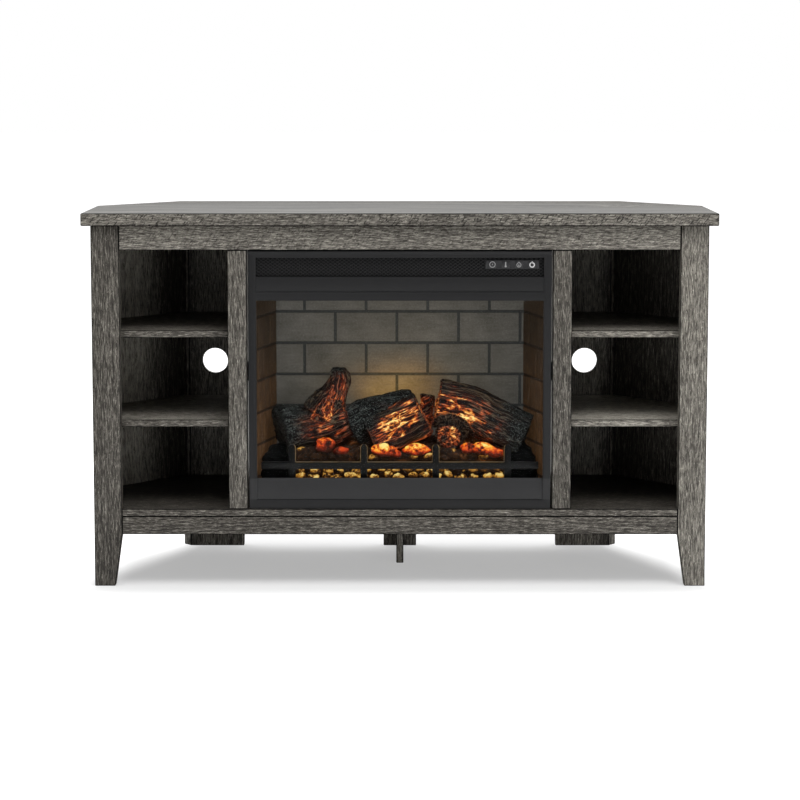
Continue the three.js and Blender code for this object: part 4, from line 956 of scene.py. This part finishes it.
def log_piece(node, lines, heat_spots, ends, material, swells=(), stub_radius=0.0):
    """A log with carved bark. It keeps its CAD solid's place, and carries its grain, heat and char for its finish.
    The round face of a stub glows inside a dark rim."""
    mesh = solid_copy(node, 2.3 * MM)
    axes = [[insert_point(*point) for point in line] for line in lines]
    grain_layer = mesh.verts.layers.float_vector.new("grain")
    heat_layer = mesh.verts.layers.float.new("hotness")
    char_layer = mesh.verts.layers.float.new("charring")
    for vert in mesh.verts:
        found = [on_line(vert.co, axis) for axis in axes]
        nearest = min(range(len(found)), key=lambda i: found[i][2])
        along, away, _, heading = found[nearest]
        side = heading.cross(Vector((0, 1, 0))).normalized()
        over = side.cross(heading)
        facing_end = abs(vert.normal.dot(heading))
        grain = Vector((away.dot(side), away.dot(over), 0.3 if facing_end > 0.75 else along))
        vert[grain_layer] = grain
        carved = ridge(Vector((grain.x * 75, grain.y * 75, grain.z * 16)))
        depth = (carved - 0.55) * 5.2 * MM + noise.noise(vert.co * 28) * 3.5 * MM
        move = vert.normal * max(-4 * MM, min(3.2 * MM, depth))
        for *place, glow_with_painted_shade in swells:
            move += Vector((vert.normal.x, 0, vert.normal.z)) * glow_with_painted_shade * SWELL * fade(vert.co, *place)
        heat = sum(strength * fade(vert.co, *place) for *place, strength in heat_spots)
        if stub_radius and nearest == 1:
            on_face = along < STUB_LIT_DEPTH and facing_end > 0.5
            heat *= 1.0 if on_face and away.length < STUB_LIT_SHARE * stub_radius else STUB_DIM
        char = max(min(1.0, 1.6 - math.hypot(vert.co.x - x, vert.co.z - z) / radius) for x, z, radius in ends)
        char = max(0.0, min(1.0, max(0.0, char) + noise.noise(vert.co * 60) * 0.35))
        vert[heat_layer] = max(0.0, min(1.4, heat)) * (1 - 0.85 * char)
        vert[char_layer] = char
        vert.co += move
    put(f"{node}_bark", mesh, material, stands_for=(node,), smooth=60)


def spot(column, row, wide, high, strength):
    """A hot or swollen place on a log, by where the photograph shows it, with its half sizes in pixels."""
    x, z = glass_point(column, row)
    return x, z, wide / PIXELS, high / PIXELS, strength


def dress_logs():
    skin = bark("log_bark")
    burnt = bark("log_burnt")
    log_piece(
        "left_log", [LEFT_LOG, LEFT_BRANCH],
        [spot(324, 410, 28, 13, 0.72), spot(338, 386, 13, 20, 0.62), spot(318, 430, 26, 10, 0.66),
         spot(336, 426, 9, 14, 0.55)],
        [(*glass_point(279, 430), 0.05), (*glass_point(286, 404), 0.042), (*glass_point(336, 364), 0.016)],
        skin, [spot(284, 410, 16, 10, 0.3), spot(276, 426, 8, 20, 0.14)])
    log_piece(
        "centre_log", [CENTRE_LOG], [spot(402, 424, 32, 26, 1.35), spot(412, 404, 18, 12, 0.5)],
        [(*glass_point(362, 416), 0.026), (*glass_point(410, 386), 0.02)], skin)
    log_piece(
        "right_log", [RIGHT_LOG, RIGHT_STUB],
        [spot(450, 402, 26, 18, 1.25), spot(480, 422, 28, 17, 0.9), spot(448, 431, 15, 17, 0.85)],
        [(*glass_point(542, 434), 0.08), (*glass_point(524, 402), 0.036)], skin, stub_radius=30.5 * MM)
    log_piece(
        "rear_log", [REAR_LOG], [spot(392, 404, 16, 5, 0.5)],
        [(*glass_point(350, 425), 0.11), (*glass_point(390, 395), 0.06)], burnt)


def lump_skin(node, voxel, height, scale):
    """A CAD node's shape with a broken, lumpy skin."""
    mesh = solid_copy(node, voxel)
    for vert in mesh.verts:
        lump = ridge(vert.co * scale) - 0.5 + noise.noise(vert.co * scale * 0.4)
        vert.co += vert.normal * lump * height
    return mesh


def coal(mesh, heat_layer, centre, size, heat, seed):
    """Adds one coal: a squashed ball with knocked-off corners, its glow strongest on its upper front and dark below,
    as painted shade.
    """
    drift = Vector((7.31, 3.17, 5.93)) * seed
    for vert in bmesh.ops.create_icosphere(mesh, subdivisions=3, radius=1.0)["verts"]:
        out = vert.co.normalized()
        swell = 1 + 0.3 * noise.noise(out * 1.3 + drift) + 0.14 * noise.noise(out * 3.4 + drift)
        vert.co = out * swell * size + centre
        # Painted shade: the glow falls off towards the coal's underside and back
        vert[heat_layer] = heat * max(0.05, 0.36 + 0.66 * out.z - 0.36 * out.y)


def char_lumps():
    """Broken char that lies on both end blocks, under the ends of the logs."""
    mesh = bmesh.new()
    unlit = mesh.verts.layers.float.new("hotness")
    lumps = [(-241, 60, 109, 15, 12, 15), (-231, 62, 101, 13, 11, 11), (-254, 58, 112, 11, 10, 10),
             (240, 60, 110, 14, 11, 13), (228, 62, 103, 13, 11, 11)]
    for seed, (x, y, z, wide, deep, high) in enumerate(lumps):
        coal(mesh, unlit, insert_point(x, y, z), Vector((wide, deep, high)) * MM, 0.0, seed + 90)
    return mesh


# The glowing coals under the logs, as photographed: column, row, half width, half height and heat
COALS = [
    (326, 441, 10, 7, 0.72), (342, 447, 7, 4.5, 0.4), (384, 446, 12.5, 6.5, 1.1), (397, 450, 5, 4, 0.5),
    (416, 446, 13, 6.5, 1.05), (467, 444, 7, 5.5, 0.75), (482, 445, 12, 6, 1.0), (495, 449, 8, 5, 0.6),
]


def dress_embers():
    random.seed(11)
    bed_finish = ember("ember_bed", 1.0, 62, [
        (0.0, 0, 0, 0), (0.35, 30, 14, 5), (0.65, 110, 62, 22), (1.0, 210, 150, 70)])
    pebble_finish = ember("ember_pebbles", 1.0, 85, [
        (0.0, 2, 1, 0), (0.25, 46, 26, 9), (0.5, 140, 90, 32), (0.75, 216, 160, 66), (1.0, 255, 226, 140)])
    coal_finish = ember("glowing_coal", 1.25, 60, [
        (0.0, 12, 3, 1), (0.2, 96, 22, 8), (0.4, 208, 66, 22), (0.58, 250, 132, 36), (0.78, 255, 196, 66),
        (1.0, 255, 236, 140)])
    mesh = lump_skin("ember_bed", 0.003, 0.006, 42)
    heat_layer = mesh.verts.layers.float.new("hotness")
    for vert in mesh.verts:
        vert[heat_layer] = 0.08 + 1.1 * max(0.0, noise.noise(vert.co * 25))
    put("ember_bed_crust", mesh, bed_finish, stands_for=("ember_bed",), smooth=60)

    pebbles = bmesh.new()
    heat_layer = pebbles.verts.layers.float.new("hotness")
    seed = 0
    for row, (rise, depth, count) in enumerate([(60, 33, 17), (73, 36, 16), (98, 36, 15), (110, 42, 14)]):
        for i in range(count):
            seed += 1
            x = -212 + (i + 0.5) * 424 / count + random.uniform(-4, 4)
            size = Vector((random.uniform(9, 14), random.uniform(6, 8), random.uniform(6.5, 9)))
            centre = insert_point(x, depth + random.uniform(-1.5, 2), rise + random.uniform(-3, 3))
            heat = random.uniform(0.9, 1.5) if row < 2 else random.choice((0.05, 0.2, 0.9))
            coal(pebbles, heat_layer, centre, size * MM, heat, seed)
    put("ember_pebbles", pebbles, pebble_finish, smooth=60)

    glowing = bmesh.new()
    heat_layer = glowing.verts.layers.float.new("hotness")
    for column, row, wide, high, heat in COALS:
        seed += 1
        x, z = glass_point(column, row)
        centre = Vector((x, insert_point(0, 33.5, 0).y, z))
        coal(glowing, heat_layer, centre, Vector((wide * 2.04, 10, high * 2.04)) * MM, heat, seed)
    put("glowing_coals", glowing, coal_finish, smooth=60)


def dress_firebox():
    screen_low, screen_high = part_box("brick_screen")
    eased("brick_screen", brick_print(SCREEN_GLOW, screen_low.y + 0.001), 0.0008)
    walls = side_brick(screen_low.z + 0.06, screen_high.z - 0.06)
    for node in ("left_brick_wall", "right_brick_wall"):
        eased(node, walls, 0.0006)
    eased("grate", grate_iron(), 0.0011)
    rock = charcoal_lump()
    put("char_lumps", char_lumps(), rock, smooth=60)
    for node in ("left_char_block", "right_char_block"):
        put(f"{node}_rock", lump_skin(node, 0.0028, 0.007, 55), rock, stands_for=(node,), smooth=60)
    dress_logs()
    dress_embers()


# ------ insert: works and back
def dress_works():
    sheet = zinc("sheet_steel", paint(182, 184, 186), paint(128, 131, 134))
    tray = powder_coat("sheet_black", paint(17, 17, 18), 0.55, shine=0.2)
    green = circuit()
    motor = powder_coat("motor_can", paint(92, 95, 98), 0.42, metallic=0.4)
    bright = zinc("bright_metal", paint(214, 216, 219), paint(176, 179, 183), 0.24)
    fins = zinc("heater_metal", paint(70, 65, 58), paint(42, 38, 33), 0.42)
    rubber = plastic("black_rubber", paint(30, 30, 30), 0.7)
    finishes = {
        sheet: ["back_cover", "left_bracket", "right_bracket", "rotor_bearing"],
        tray: ["insert_housing", "log_tray", "firebox_ceiling", "blower_scroll"],
        green: ["control_board", "ember_led_board", "flame_led_board", "power_board"],
        motor: ["flame_motor", "blower_motor"],
        bright: ["flame_rotor", "blower_wheel"],
        fins: ["heater"],
        rubber: ["cord_gland"],
    }
    for material, nodes in finishes.items():
        for node in nodes:
            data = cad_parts[node].data
            data.materials.clear()
            data.materials.append(material)
    dark = zinc("screw_steel", paint(120, 121, 123), paint(78, 79, 82), 0.35)
    put("back_screws", back_screws(), dark, smooth=40)


def back_screws():
    """Cross-head screws round the back cover."""
    low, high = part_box("back_cover")
    aside, inset = 12 * MM, 10 * MM
    places = []
    for i in range(5):
        x = low.x + aside + (high.x - low.x - 2 * aside) * i / 4
        places += [(x, low.z + inset), (x, high.z - inset)]
    for x in (low.x + aside, high.x - aside):
        places += [(x, low.z + (high.z - low.z) * share) for share in (0.33, 0.66)]
    mesh = bmesh.new()
    head = [(0.02, 1.7), (1.2, 1.65), (2.3, 1.35), (3.0, 0.8), (3.2, 0.0)]
    y = high.y
    for x, z in places:
        verts = [mesh.verts.new((x + out * MM, y + rise * MM, z)) for out, rise in head]
        edges = [mesh.edges.new(pair) for pair in zip(verts, verts[1:])]
        bmesh.ops.spin(
            mesh, geom=verts + edges, cent=(x, y, z), axis=(0, 1, 0), angle=2 * math.pi, steps=18, use_merge=True)
        for wide, high_arm in ((0.35 * MM, 1.9 * MM), (1.9 * MM, 0.35 * MM)):
            box_mesh(mesh, (x - wide, y + 1.2 * MM, z - high_arm), (x + wide, y + 1.72 * MM, z + high_arm))
    return closed(mesh)


# ------ stage
# How bright the sky is as a light and as a mirrored view, and the floor's glow in the stand's shade
WORLD_FILL = 0.4
MIRRORED_FILL = 0.1
SHADE = 0.39


def ray_is(f, kind):
    """1 for rays of this kind, and 0 for the others."""
    return f.node("LightPath", output=f"Is {kind} Ray")


def set_stage():
    """A floor that looks white, but for the stand's shade on it, partly real and partly painted into the floor's
    glow, under a white sky.
    """
    mesh = bmesh.new()
    bmesh.ops.create_grid(mesh, x_segments=1, y_segments=1, size=30)
    floor = new_object("floor", mesh)
    f = Finish("floor_white")
    x, y, _ = f.parts(f.place)
    # The floor shines white for the camera, less so beneath the stand as painted shade that follows its footprint:
    # beside, before and behind it this ends
    glow_with_painted_shade = f.between(y, 0.06, 0.5, SHADE, 1.0)
    for outwards, low, high in ((abs(x) + y * 0.53, 0.49, 0.62), (y * -1.0, 0.2, 0.36)):
        glow_with_painted_shade = f.maths("MAXIMUM", glow_with_painted_shade, f.between(outwards, low, high, SHADE, 1.0))
    seen = ray_is(f, "Camera")
    grey = f.mixed(seen, (0.82, 0.82, 0.82, 1), (0.45, 0.45, 0.45, 1))
    diffuse = f.node("BsdfDiffuse", None, {"Color": grey})
    lit = f.node("Emission", None, {"Color": WHITE, "Strength": seen * glow_with_painted_shade})
    floor.data.materials.append(f.done(f.node("AddShader", None, {0: diffuse, 1: lit})))

    sky = Finish("world", "World")
    bpy.context.scene.world = sky.made
    strength = (WORLD_FILL + ray_is(sky, "Camera") * (1 - WORLD_FILL)
                + ray_is(sky, "Glossy") * (MIRRORED_FILL - WORLD_FILL))
    sky.done(sky.node("Background", None, {"Color": WHITE, "Strength": strength}))


def softbox(name, place, target, width, height, power):
    data = bpy.data.lights.new(name, "AREA")
    data.shape = "RECTANGLE"
    data.size = width
    data.size_y = height
    data.energy = power
    lamp = bpy.data.objects.new(name, data)
    lamp.location = place
    lamp.rotation_euler = (Vector(target) - Vector(place)).to_track_quat("-Z", "Y").to_euler()
    bpy.context.scene.collection.objects.link(lamp)


def set_lights():
    softbox("overhead", (0.0, 0.15, 2.9), (0.0, 0.1, 0.0), 4.4, 3.4, 150)
    softbox("front", (0.7, -1.9, 3.6), (0.1, -0.3, 0.4), 2.4, 1.2, 52)
    softbox("right_low", (3.5, -3.2, 0.8), (0.0, 0.0, 0.4), 1.1, 0.9, 30)


set_camera()
dress_cabinet()
dress_front()
dress_firebox()
dress_works()
set_stage()
set_lights()
bpy.context.scene.view_settings.view_transform = "Standard"
